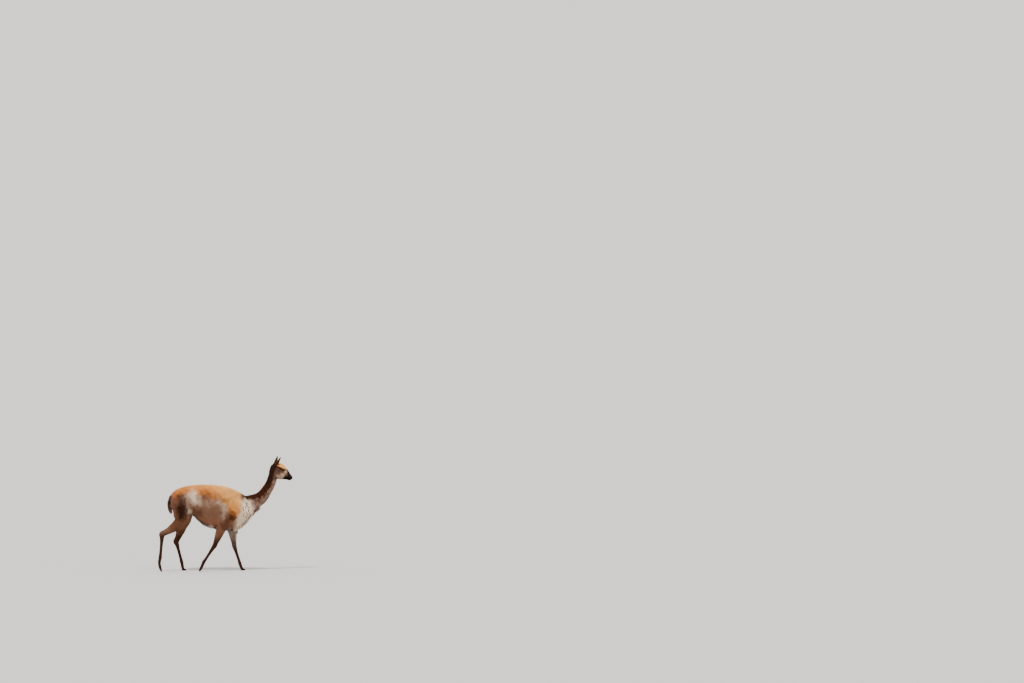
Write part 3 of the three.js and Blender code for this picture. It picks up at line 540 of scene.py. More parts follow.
def markings(points, draws):
    """Linear colour at each point in mm; draws are 0 to 1 and scatter pale hairs among dark ones."""
    x, y, z = points.T
    strength = WARP * smooth(900, 820, z) * smooth(400, 620, z) * (1 - 0.6 * smooth(120, 180, x))
    x, y, z = (points + ripple(points, *PATTERNS["warp"]) * strength[:, None]).T
    streaks = smooth(-0.2, 0.5, ripple(points * (0.5, 1, 1.7), *PATTERNS["streaks"])[:, 0])
    patterns = {
        "mottle": np.clip(0.8 + 0.6 * ripple(points, *PATTERNS["mottle"])[:, 0], 0.2, 1),
        "streaks": streaks,
        "specks": smooth(0.4, 0.9, ripple(points, *PATTERNS["specks"])[:, 0]),
        "hairs": draws > 0.5,
    }
    colour = np.tile(FLANK, (len(x), 1))

    def paint(tone, share):
        """Mixes a tone into the colour."""
        colour[:] += (tone - colour) * np.clip(share, 0, 1)[:, None]

    def dapple(patches, along, up, within=1.0):
        """Paints oval patches of a side view, where within is above 0."""
        for tone, centre, radii, turn, soft, share, *added in patches:
            if added:
                share = share + added[0] * patterns[added[1]]
            paint(tone, within * oval(along, up, centre, radii, turn, soft) * share)

    # Trunk: flank, belly, saddle
    paint(BELLY, smooth(600, 520, z) * smooth(-330, -230, x))
    dapple(FLANK_PATCHES, x, z)
    over_edge = z - level(x, SADDLE_EDGE) + 22 * (streaks - 0.5)
    saddle = smooth(-14, 14, over_edge) * smooth(176, 168, x)
    paint(RUST, saddle)
    paint(TAN, saddle * smooth(16, 100, over_edge))
    dapple(SADDLE_PATCHES, x, z, saddle)
    dapple(LIMB_PATCHES, x, z)

    # Legs: brown, darker downwards, partly their own colour and partly painted shade; white inside, painted
    # grey as in shade, with a pale edge high on the foreleg
    inside, foreleg = smooth(84, 72, np.abs(y)), smooth(-240, -220, x)
    legs = np.where(x < -250, smooth(450, 350, z), smooth(400, 300, z))
    paint(THIGH, smooth(500, 440, z) * (x > -160) * (x < 20) * 0.8)
    # The legs' dark brown is partly their own colour and partly painted shade
    paint(LEG_BROWN, legs)
    # Painted shade: the white inner side of the forelegs, painted grey
    paint(SHADED_INNER_WHITE, smooth(90, 74, np.abs(y)) * foreleg * smooth(520, 460, z) * smooth(190, 290, z) * 0.85)
    paint(PALE, oval(x, z, (48, 410), (40, 70), 12, 0.6) * inside * 0.35)
    paint(PALE, inside * smooth(0, 9, x - 96) * smooth(450, 410, z) * smooth(290, 330, z) * 0.5)
    paint(NEAR_BLACK, smooth(330, 120, z) * legs * 0.7)

    # Bib, and the pale place between the forelegs
    over_band = z - level(x, DARK_BAND)
    chest = smooth(-8, 6, x - level(z, BIB_REAR)) * smooth(-22, 4, -over_band)
    paint(CREAM, chest * smooth(430, 480, z))
    paint(CREAM, oval(x, z, (146, 500), (40, 84), 0, 0.4) * smooth(430, 470, z))

    # Neck: speckled throat under a dark nape, whose dark brown is partly its own and partly painted shade
    nape = smooth(182, 194, x) * smooth(0, 20, over_band + 10)
    throat = smooth(276, 300, x) * smooth(590, 620, z)
    paint(MAUVE, throat)
    paint(PALE, throat * (draws > 0.7) * 0.75)
    paint(NECK_BROWN, throat * (draws < 0.2) * 0.6)
    paint(NECK_BROWN, throat * smooth(310, 350, x) * smooth(60, 0, -over_band) * (0.25 + 0.5 * streaks))
    paint(NECK_BROWN, nape)
    paint(NEAR_BLACK, nape * smooth(880, 980, z) * 0.9)

    # Outer side of the tail, painted near-black as the shade on its rear
    paint(NEAR_BLACK, smooth(-554, -568, x) * smooth(650, 700, z))

    # Head: near-black behind, partly its own colour and partly painted shade, tan brow, greyish cheek in
    # painted shade, greyish snout, black muzzle
    u, w, v = head_coords(points).T
    head = smooth(-30, -8, u) * smooth(-88, -72, v) * (z > 900)
    paint(NEAR_BLACK, head)
    # The cheek's greyish tone is painted shade
    paint(SHADED_CHEEK, head * smooth(32, 58, u) * smooth(50, 30, v))
    paint(TAN, head * smooth(32, 50, u) * smooth(52, 64, v) * smooth(156, 130, u))
    # Painted sunlight on the crown of the brow
    paint(SUNLIT_GOLD, head * smooth(60, 84, u) * smooth(60, 74, v) * smooth(140, 120, u) * 0.4)
    paint(SNOUT, head * smooth(140, 158, u) * smooth(14, 30, v))
    dapple(FACE_PATCHES, u, v, head)
    paint(PALE, head * smooth(-40, -50, v) * smooth(88, 112, u) * smooth(170, 150, u) * 0.55)
    paint(MUZZLE, head * smooth(160, 184, u) * 0.96)
    paint(MUZZLE, head * smooth(138, 158, u) * smooth(8, -10, v) * 0.85)
    paint(NOSE_GREY, head * smooth(190, 206, u) * smooth(6, 18, v) * 0.4)
    paint(MUZZLE, head * smooth(148, 164, u) * smooth(-8, -20, v))
    slit = np.hypot((u - NOSTRIL[0]) / 7, (v - NOSTRIL[2] - 0.5 * (u - NOSTRIL[0])) / 3.2)
    paint(NEAR_BLACK, head * smooth(1.2, 0.7, slit) * (np.abs(w) > 5))
    paint(EAR_BROWN, head * smooth(0.2, 0.4, up_ear(points)) * 0.95)
    return colour


def lock_shaded(tones, points):
    """Tones darkened with painted shade where the bib's locks part."""
    x, _, z = points.T
    across = x + GAP_SLANT * z + 7 * ripple(points, *PATTERNS["locks"])[:, 0]
    parting = smooth(-1.1, -0.1, ripple(points * (1, 1, 0.6), *PATTERNS["partings"])[:, 0])
    gaps = parting * smooth(-0.15, 0.35, np.sin(across / GAP_WAVE))
    gaps *= smooth(174, 186, x) * smooth(285, 255, x) * smooth(520, 560, z)
    gaps *= smooth(740, 700, z) * smooth(0, 10, level(x, DARK_BAND) - z)
    tones = tones + (MAUVE - tones) * (oval(x, z, (296, 655), (26, 46), 0, 0.5) * 0.5)[:, None]
    return tones + (UMBER - tones) * (gaps * 0.92)[:, None]


def store(mesh, name, values, kind="FLOAT_COLOR"):
    """A value of every vertex, kept on the mesh."""
    attribute = mesh.attributes.new(name, kind, "POINT")
    if kind == "FLOAT_COLOR":
        values = np.hstack([values, np.ones((len(values), 1))])
        attribute.data.foreach_set("color", values.astype(np.float32).ravel())
    else:
        attribute.data.foreach_set("value", values.astype(np.float32))


store(skin.data, "coat", lock_shaded(markings(places, np.full(len(places), 0.5)), places))

# Hair
# Fine dry hair over dense underwool: matt, with a faint sheen, darker at its roots and paler at its tips.
HAIR_PATCH_MM = 45


def node(tree, kind, **values):
    """Adds a node. Lower-case values are its settings, the others its inputs by name or number."""
    made = tree.nodes.new("ShaderNode" + kind)
    for key, value in values.items():
        if key.islower():
            setattr(made, key, value)
            continue
        socket = made.inputs[int(key[1:]) if key[1:].isdigit() else key.replace("_", " ")]
        if isinstance(value, bpy.types.NodeSocket):
            tree.links.new(value, socket)
        else:
            socket.default_value = value
    return made


def new_material(name):
    """A material and its empty node tree."""
    material = bpy.data.materials.new(name)
    material.use_nodes = True
    material.node_tree.nodes.clear()
    return material, material.node_tree


def dress(piece, material):
    """Gives a piece its material and smooth shading."""
    piece.data.materials.append(material)
    piece.data.shade_smooth()


def finish_surface(tree, **inputs):
    """Ends a material with a surface of these inputs."""
    surface = node(tree, "BsdfPrincipled", **inputs)
    node(tree, "OutputMaterial", Surface=surface.outputs[0])


def hair_material(name, strand_mm, root_shade, sheen, gloss):
    """Hair of the colour kept on the mesh, varied strand by strand and in broad patches."""
    material, tree = new_material(name)
    place = node(tree, "TexCoord").outputs["Object"]
    colour = node(tree, "Attribute", attribute_name="coat").outputs["Color"]
    along = node(tree, "Attribute", attribute_name="along").outputs["Fac"]
    strand = node(tree, "TexNoise", Vector=place, Scale=1 / (strand_mm * MM), Detail=2.0)
    patch = node(tree, "TexNoise", Vector=place, Scale=1 / (HAIR_PATCH_MM * MM), Detail=3.0)
    fade = node(tree, "MapRange", Value=along, To_Min=root_shade, To_Max=1.1)
    fine, broad = (
        node(tree, "MapRange", Value=noise.outputs["Fac"], From_Min=0.3, From_Max=0.7, To_Min=low, To_Max=top)
        for noise, low, top in ((strand, 0.8, 1.2), (patch, 0.86, 1.12))
    )
    both = node(tree, "Math", operation="MULTIPLY", _0=fade.outputs[0], _1=fine.outputs[0])
    total = node(tree, "Math", operation="MULTIPLY", _0=both.outputs[0], _1=broad.outputs[0])
    shade = node(tree, "VectorMath", operation="SCALE", _0=colour, Scale=total.outputs[0])
    bump = node(tree, "Bump", Height=strand.outputs["Fac"], Strength=0.35, Distance=0.6 * MM)
    finish_surface(tree, Base_Color=shade.outputs[0], Roughness=0.82, Normal=bump.outputs[0], IOR=1.5,
                   Specular_IOR_Level=gloss, Sheen_Weight=sheen, Sheen_Roughness=0.5)
    return material


# Long soft wool of trunk and bib, short hair of head and limbs, and the wool that shows between the tufts
fleece_hair = hair_material("fine_fleece", 2.4, 0.66, 0.03, 0.08)
dark_hair = hair_material("short_dark_hair", 1.8, 0.75, 0.01, 0.08)
skin.data.materials.append(hair_material("close_underwool", 1.6, 0.75, 0.01, 0.06))
store(skin.data, "along", np.full(len(places), 0.35), "FLOAT")
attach(skin, "root")
flesh = [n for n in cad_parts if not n.startswith("eye") and "nail" not in n]
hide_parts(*flesh)

# Coat
# Tufts of hair grown from the skin. Each is a thin blade of hair that tapers to its tip, lies over the
# skin and overlaps those below it. Their lie runs back and down the body and down the limbs.
skin_bm = bmesh.new()
skin_bm.from_mesh(skin.data)
skin_tree = BVHTree.FromBMesh(skin_bm)
skin_bm.free()
skin_places = places * MM
skin_outward = vertex_array(skin.data.vertex_normals, "vector")
skin_triangles = np.array([face.vertices[:] for face in skin.data.loop_triangles])
corner_a, corner_b, corner_c = skin_places[skin_triangles].transpose(1, 0, 2)
triangle_area = np.linalg.norm(np.cross(corner_b - corner_a, corner_c - corner_a), axis=1) / 2
triangle_middle = (corner_a + corner_b + corner_c) / 3 / MM


def tuft_form(rings):
    """One tuft as a three-sided blade: rings along it, a point at its tip and a cap on its root."""
    bm = bmesh.new()
    root = bmesh.ops.create_circle(bm, segments=3, radius=1, cap_ends=True)["verts"]
    edges = root[0].link_faces[0].edges[:]
    for _ in range(rings - 1):
        grown = bmesh.ops.extrude_edge_only(bm, edges=edges)["geom"]
        edges = [g for g in grown if isinstance(g, bmesh.types.BMEdge)]
        bmesh.ops.translate(bm, vec=(0, 0, 1), verts=[g for g in grown if isinstance(g, bmesh.types.BMVert)])
    tip = bmesh.ops.extrude_edge_only(bm, edges=edges)["geom"]
    tip = [g for g in tip if isinstance(g, bmesh.types.BMVert)]
    bmesh.ops.pointmerge(bm, verts=tip, merge_co=(0, 0, rings))
    bmesh.ops.recalc_face_normals(bm, faces=bm.faces)
    bmesh.ops.triangulate(bm, faces=bm.faces)
    bm.verts.index_update()
    points = np.array([v.co for v in bm.verts])
    faces = np.array([[v.index for v in f.verts] for f in bm.faces])
    bm.free()
    return points, faces


def unit(vectors):
    """Each vector at length 1."""
    return vectors / np.maximum(np.linalg.norm(vectors, axis=-1), 1e-9)[..., None]


def across_surface(vectors, normals):
    """Each vector laid flat on the skin."""
    return unit(vectors - normals * (vectors * normals).sum(1)[:, None])


def scatter(region, spacing, rng):
    """Roots spread over the skin where region is above 0, this far apart in mm, and the skin's way out."""
    weight = np.cumsum(triangle_area * region(triangle_middle)) / (spacing * MM) ** 2
    count = int(weight[-1])
    picks = np.searchsorted(weight, (np.arange(count) + rng.random(count)) / count * weight[-1])
    picks = np.minimum(picks, len(weight) - 1)
    a, b = rng.random(count), rng.random(count)
    over = a + b > 1
    a[over], b[over] = 1 - a[over], 1 - b[over]
    shares = np.stack([1 - a - b, a, b], 1)[:, :, None]
    trio = skin_triangles[picks]
    return (skin_places[trio] * shares).sum(1), unit((skin_outward[trio] * shares).sum(1))


def unwrapped(roots, axis):
    """Place of each root on an unwrap round a line: how far along it, and the turn round it."""
    line = np.array(axis, float) * MM
    best = np.full(len(roots), np.inf)
    along, turn, gone = np.zeros(len(roots)), np.zeros(len(roots)), 0.0
    for a, b in zip(line, line[1:]):
        span = b - a
        share = (roots - a) @ span / (span @ span)
        off = roots - a - np.clip(share, 0, 1)[:, None] * span
        gap = (off**2).sum(1)
        rise = unit(np.cross(span, (0, 1, 0)))
        nearer = gap < best
        best[nearer] = gap[nearer]
        along[nearer] = (gone + np.clip(share, -0.8, 1.8) * np.linalg.norm(span))[nearer]
        turn[nearer] = np.arctan2(off[:, 1], off @ rise)[nearer]
        gone += np.linalg.norm(span)
    u = (along - along.min()) / max(np.ptp(along), 1e-6)
    return np.stack([0.01 + 0.98 * u, 0.01 + 0.98 * (turn / (2 * math.pi) + 0.5)], 1)


# Side of each tuft's place on the unwrap
PATCH = 0.003
# How far a tuft's shading follows the skin instead of its own faces, and its thickness over its width
SOFT_SHARE = 0.55
FLATNESS = 0.35


def weave(name, slot, roots, normals, way, long, wide, high, axis, seed, rings=1, hang=0.0, under=0.0,
          sink=1.5, jitter=8, full=0.75, rise=0.8, tips=None, gather=0.0, in_lock=10):
    """Tufts as one joined mesh. Each runs from its root along the skin and lifts to its tip, or hangs free
    by the share hang, and under more on the animal's underside. Gathered tufts draw together in locks."""
    rng = np.random.default_rng(seed + 100)
    count = len(roots)
    fall_end = np.clip(hang + under * smooth(0.15, 0.75, -normals[:, 2]), 0, 1)
    middles, place, facing, heading = [], roots.copy(), normals.copy(), way.copy()
    for k in range(rings + 1):
        share = k / rings
        middles.append(place + facing * (high * share**rise - (sink * MM if k == 0 else 0))[:, None])
        if k == rings:
            break
        fall = (fall_end * (k + 1) / rings)[:, None]
        heading = unit(heading * (1 - fall) + np.array([0, 0, -1.0]) * fall)
        place = place + heading * (long / rings)[:, None]
        for i in range(count):
            near, normal, _, _ = skin_tree.find_nearest(place[i])
            outside = (place[i] - near) @ normal > 0
            loose = min(fall[i, 0] * 1.3, 1.0) if outside else 0.0
            place[i] = place[i] * loose + np.array(near) * (1 - loose)
            facing[i] = normal
        heading = unit(across_surface(heading, facing) * (1 - fall) + heading * fall)
    if gather:
        hearts = roots[rng.permutation(count)[: count // in_lock]]
        own = KDTree(len(hearts))
        for i, heart in enumerate(hearts):
            own.insert(heart, i)
        own.balance()
        lock = np.array([own.find(root)[1] for root in roots])
        sums = np.zeros_like(hearts)
        np.add.at(sums, lock, middles[-1])
        pull = (sums / np.bincount(lock, minlength=len(hearts))[:, None])[lock] - middles[-1]
        middles = [middle + pull * gather * (k / rings) ** 1.5 for k, middle in enumerate(middles)]
    points, faces = tuft_form(rings)
    steps = points[:, 2].round().astype(int)
    profile = [0.6 if rings > 1 else 1.0, *[1 - full * (k / rings) ** 1.6 for k in range(1, rings)], 0.0]
    side = unit(np.cross(normals, way))
    soft = unit(np.stack([normals[:, 0], normals[:, 1], np.maximum(normals[:, 2], -0.25)], 1))
    verts = np.empty((count, len(points), 3))
    shading = np.empty_like(verts)
    for i, ((a, b, _), k) in enumerate(zip(points, steps)):
        offset = (side * a + normals * b * FLATNESS) * (wide / 2 * profile[k])[:, None]
        verts[:, i] = middles[k] + offset
        shading[:, i] = unit(side * a + soft * (b + 0.2)) * (1 - SOFT_SHARE) + soft * SOFT_SHARE
    verts[:, :, 2] = np.maximum(verts[:, :, 2], 0.6 * MM)
    index = (faces[None] + (np.arange(count) * len(points))[:, None, None]).reshape(-1, 3)
    mesh = bpy.data.meshes.new(name)
    mesh.vertices.add(count * len(points))
    mesh.vertices.foreach_set("co", verts.astype(np.float32).ravel())
    mesh.loops.add(index.size)
    mesh.loops.foreach_set("vertex_index", index.astype(np.int32).ravel())
    mesh.polygons.add(len(index))
    mesh.polygons.foreach_set("loop_start", np.arange(0, index.size, 3, dtype=np.int32))
    mesh.update(calc_edges=True)
    mesh.shade_smooth()
    mesh.normals_split_custom_set_from_vertices(unit(shading.reshape(-1, 3)))
    spot = roots / MM
    tone = markings(spot + rng.normal(0, jitter, (count, 3)), rng.random(count))
    tone *= rng.uniform(0.86, 1.14, (count, 1))
    tones = np.stack([lock_shaded(tone, middles[k] / MM) for k in steps], 1)
    if tips:
        pale_ones = rng.random(count) < tips(spot)
        tones += (PALE - tones) * (steps / rings)[None, :, None] ** 1.5 * pale_ones[:, None, None]
    store(mesh, "coat", tones.reshape(-1, 3))
    store(mesh, "along", np.tile(steps / rings, count), "FLOAT")
    patch = np.stack([points[:, 0], points[:, 2] / rings * 2 - 1], 1) * PATCH / 2
    spread = (unwrapped(roots, axis)[:, None] + patch[None]).reshape(-1, 2)
    layer = mesh.uv_layers.new(name="OFBake")
    layer.data.foreach_set("uv", spread[index.ravel()].astype(np.float32).ravel())
    mesh.materials.append(fleece_hair if slot == "fleece" else dark_hair)
    piece = add_object(name, mesh)
    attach(piece, "root")


def grow(name, slot, region, lie, axis, spacing, length, width, lift, seed, wander=0.1, ripples=0.3,
         lock_mm=26, **form):
    """One piece of the coat, grown where region is above 0. Sizes in mm may be functions of the roots."""
    rng = np.random.default_rng(seed)
    roots, normals = scatter(region, spacing, rng)
    spot = roots / MM
    long, wide, high = (
        (f(spot) if callable(f) else np.full(len(roots), float(f))) * MM * rng.uniform(low, top, len(roots))
        for f, low, top in ((length, 0.75, 1.2), (width, 0.75, 1.25), (lift, 0.55, 1.35))
    )
    stray = rng.normal(0, wander, (len(roots), 3)) + ripple(spot, lock_mm, seed) * ripples
    way = across_surface(lie(spot, normals) + stray, normals)
    weave(name, slot, roots, normals, way, long, wide, high, axis, seed, **form)


neck_line = [row[:3] for row in neck_rows]
trunk_line = [(-560, 0, TRUNK_MIDDLE), (260, 0, TRUNK_MIDDLE)]
NECK_FOOT, NECK_FOOT_SLOPE = (325, 728), 57
NECK_HEAD, NECK_HEAD_SLOPE = (500, 1012), 40


def gaps(points, line):
    """Squared distance of each point to each corner of a line."""
    return ((points[:, None] - line[None]) ** 2).sum(2)


def beyond(points, at, slope):
    """How far points lie past a slanted cut of the side view."""
    s = math.radians(slope)
    return (points[:, 0] - at[0]) * math.cos(s) + (points[:, 2] - at[1]) * math.sin(s)


def on_tail(p):
    return (p[:, 0] < -548) & (np.abs(p[:, 1]) < 24) & (p[:, 2] < 805) & (p[:, 2] > 560)


def on_head(p):
    return (beyond(p, NECK_HEAD, NECK_HEAD_SLOPE) > 0) & (p[:, 0] > 440) & (p[:, 2] > 900)


def on_neck(p):
    above_foot = (beyond(p, NECK_FOOT, NECK_FOOT_SLOPE) > -60) & (p[:, 0] > 190)
    return above_foot & (beyond(p, NECK_HEAD, NECK_HEAD_SLOPE) < 4)


def on_leg(p):
    hind = p[:, 0] < -320
    return np.where(hind, p[:, 2] < 575, (p[:, 2] < 446) & (np.abs(p[:, 1]) > 36))


def on_trunk(p):
    return ~on_tail(p) & ~on_head(p) & ~on_neck(p) & ~on_leg(p)


def trunk_lie(p, n):
    """Back along the spine, turning down over the flanks and the buttocks, and forward to the chest."""
    x, y, z = p.T
    way = np.tile([-1.0, 0.0, -0.3], (len(p), 1))
    way[:, 2] -= 1.0 * smooth(830, 640, z) + 0.6 * smooth(-420, -500, x)
    way[:, 0] += 0.9 * smooth(-440, -540, x)
    front = (smooth(60, 190, x) * smooth(820, 700, z))[:, None]
    return way * (1 - front) + np.array([0.25, 0, -1.0]) * front


TRUNK_PARTS = {"rump": (-700, -352), "loin": (-352, -172), "barrel": (-172, 8), "shoulder": (8, 420)}
for seed, (part, (low, high)) in enumerate(TRUNK_PARTS.items(), 1):
    grow(
        f"coat_{part}", "fleece", lambda p: on_trunk(p) & (p[:, 0] >= low) & (p[:, 0] < high), trunk_lie,
        trunk_line, 2.32, 32, 3.3, 8.5, seed, ripples=0.34, lock_mm=30,
    )


def neck_lie(p, n):
    """Down the neck, and a little outwards from the nape."""
    line = np.array(neck_line, float)
    return -unit(np.gradient(line, axis=0)[gaps(p, line).argmin(1)]) + [0.05, 0, -0.15]


def low_on_neck(p):
    return smooth(960, 720, p[:, 2])


def near_head_end(p):
    return smooth(60, 0, -beyond(p, NECK_HEAD, NECK_HEAD_SLOPE))


grow(
    "coat_neck", "dark_coat", on_neck, neck_lie, neck_line, 2.05, lambda p: 14 + 18 * low_on_neck(p),
    lambda p: 2.3 + 1.0 * low_on_neck(p), lambda p: 4 + 5 * low_on_neck(p) - 2 * near_head_end(p), 5,
    ripples=0.28, lock_mm=20, jitter=5,
)


def face_lie(p, n):
    """Back from the nose over the cheeks and brow, and down at the back of the skull."""
    back, up = -ahead[:, 0], ahead[:, 2]
    return back + up * 0.12 - up * 2.0 * smooth(34, -6, head_coords(p)[:, 0])[:, None]


def on_ear(p):
    return up_ear(p) > 0.3


def bare(p):
    """Share of the head's skin with no hair: the nose, the lips' edges and the rims of the lids."""
    u, w, v = head_coords(p).T
    nose = smooth(1.25, 0.9, np.hypot((u - 231) / 17, (v - 4) / 15))
    from_eye = np.stack([u - EYE_AT[0] - 2, np.abs(w) - EYE_AT[1] - 8, v - EYE_AT[2]])
    rim = smooth(17, 14, np.linalg.norm(from_eye, axis=0))
    lip = smooth(3.4, 1.8, np.hypot(v - lip_line(u), np.minimum(u - MOUTH["corner"][0], 0))) * (u > 140)
    return np.maximum.reduce([nose, rim, lip])


def far_from_nose(p):
    at_ear = smooth(0.05, 0.2, up_ear(p))
    return smooth(175, 15, head_coords(p)[:, 0]) * (1 - 0.6 * at_ear)


head_line = [np.array(head_place @ Vector((u, 0, v))) for u, v in ((-40, -4), (100, 4), (235, -6))]
grow(
    "coat_head", "dark_coat", lambda p: on_head(p) & ~on_ear(p) & (bare(p) < 0.5), face_lie, head_line, 1.5,
    lambda p: 4 + 9 * far_from_nose(p), lambda p: 0.9 + 1.2 * far_from_nose(p),
    lambda p: 0.7 + 2.2 * far_from_nose(p), 6, ripples=0.2, lock_mm=16, sink=0.5, jitter=2.5,
)


def ear_lie(p, n):
    """Up the ear to its tip."""
    return np.array([0.4, 0, 1.0]) + np.sign(p[:, 1])[:, None] * np.array([0, 0.28, 0])


ear_line = [(500, 0, 1080), (560, 0, 1190)]
grow(
    "coat_ears", "dark_coat", lambda p: on_head(p) & on_ear(p), ear_lie, ear_line, 1.25, 6, 1.1,
    lambda p: 0.6 + 0.8 * smooth(1130, 1160, p[:, 2]), 7, ripples=0.1, sink=0.4, jitter=2,
)

for seed, (name, leg) in enumerate(LEGS.items(), 10):
    rows = leg_rows(leg)
    line = np.array([row[:3] for row in rows] + [[x, rows[-1][1], z] for x, z in leg["toes"][1:]], float)
    steps = unit(np.gradient(line, axis=0))

    def down_leg(p, n):
        """Down the bones of the leg to the toes."""
        return steps[gaps(p, line).argmin(1)]

    def of_leg(p):
        """The skin nearest this leg."""
        own = (p[:, 1] * leg["side"] > 0) & ((p[:, 0] < -240) == (line[0][0] < -240))
        return own & on_leg(p) & (gaps(p, line).min(1) < 150**2)

    grow(
        f"coat_{name}", "dark_coat", of_leg, down_leg, line, 2.5,
        lambda p: 7 + 15 * smooth(200, 520, p[:, 2]), lambda p: 1.6 + 1.4 * smooth(200, 500, p[:, 2]),
        lambda p: 1.5 + 4.5 * smooth(260, 540, p[:, 2]), seed, ripples=0.2, sink=0.7, jitter=5,
    )

# Tail
# A short tail whose long hair hangs close over its bone.
tail_line = [(x, 0, z) for x, z, _ in TAIL_ROWS]


def tail_lie(p, n):
    """Down along the bone, and in towards the thighs below its end."""
    way = np.tile([-0.12, 0, -1.0], (len(p), 1))
    way[:, 0] += 0.5 * smooth(690, 620, p[:, 2])
    return way


grow(
    "coat_tail", "dark_coat", on_tail, tail_lie, tail_line, 2.4,
    lambda p: 42 - 14 * smooth(660, 610, p[:, 2]), 2.8, 13, 20, rings=3, hang=0.25, lock_mm=18, jitter=6,
)

# Bib
# Long silky cream hair that hangs from the chest in overlapping locks, forward and down.


def on_bib(p):
    x, y, z = p.T
    below_band = z < level(x, DARK_BAND) - 12
    low = (x > 96) & (z < 560) & (np.abs(y) < 110)
    return (on_trunk(p) | (on_neck(p) & (x < 345))) & ((x > 170) | low) & below_band


def bib_length(p):
    """Longest in the middle of the bib, shorter between the forelegs and up the throat."""
    x, _, z = p.T
    return 62 + 34 * smooth(770, 690, z) - 16 * smooth(560, 480, z) - 46 * smooth(268, 330, x)


grow(
    "coat_bib", "fleece", on_bib, lambda p, n: np.tile([0.45, 0, -1.0], (len(p), 1)), neck_line, 3.75,
    bib_length, 3.0, lambda p: 8 + 12 * smooth(760, 640, p[:, 2]), 21, rings=5, hang=0.2, under=0.7,
    wander=0.06, ripples=0.4, lock_mm=20, jitter=3, rise=1.0, full=0.6, gather=0.55, in_lock=11,
)

# Belly fringe
# Long brown hair with pale tips under the belly and behind the elbows.


def on_belly(p):
    low = level(p[:, 0], [(-400, 610), (-330, 575), (-250, 530), (-180, 505), (100, 490)])
    return on_trunk(p) & (p[:, 0] > -400) & (p[:, 0] < 130) & (p[:, 2] < low)


grow(
    "coat_belly", "fleece", on_belly, lambda p, n: np.tile([-0.35, 0, -1.0], (len(p), 1)), trunk_line, 5.2,
    lambda p: 24 + 30 * smooth(-300, -220, p[:, 0]), 3.6, 8, 22, rings=4, hang=0.5, under=0.5, wander=0.12,
    ripples=0.6, lock_mm=24, jitter=8, full=0.6, gather=0.75, in_lock=14,
    tips=lambda p: 0.1 + 0.6 * smooth(-280, -230, p[:, 0]) * smooth(-90, -140, p[:, 0]),
)

# Eyes
# Large dark wet eyes with a level oval pupil, deep between the lids. A bare dark rim edges each lid and long
# lashes hang from the upper one.
EYE_BROWN, EYE_PUPIL, LID_RIM = linear("34190B"), linear("020202"), linear("140B09")
PUPIL_RADII = (0.42, 0.3)
CORNEA_RISE = 1.1
RIM_STEPS, RIM_GIRTH = 72, 1.05
# Lashes from the eye's front corner to its rear one, in degrees round the opening
LASHES, LASH_START, LASH_STEP = 34, 18, 4.3
LASH_RINGS, LASH_GIRTH = 3, 0.32


def slit_point(turn, side, radius):
    """Point of the opening between the lids, on a ball of this radius round the eye, in the head's frame."""
    c, s = math.cos(turn), math.sin(turn)
    du, dv = EYE_SLIT[0] * c, EYE_SLIT[1] * (1 - LID_CORNER * c * c) * s
    tilt = math.radians(EYE_TILT)
    off = Vector((du * math.cos(tilt) + dv * math.sin(tilt), 0, dv * math.cos(tilt) - du * math.sin(tilt)))
    off.y = side * math.sqrt(max(EYE_RADIUS**2 - off.length_squared, 1.0))
    return Vector(EYE_AT) * Vector((1, side, 1)) + off * (radius / EYE_RADIUS)


# Wet eye with a dark pupil
wet_eye, tree = new_material("wet_eye")
pupil = node(tree, "Attribute", attribute_name="pupil").outputs["Fac"]
tone = node(tree, "MixRGB", Fac=pupil, Color1=(*EYE_BROWN, 1), Color2=(*EYE_PUPIL, 1))
finish_surface(tree, Base_Color=tone.outputs[0], Roughness=0.07, IOR=1.34, Specular_IOR_Level=0.18)
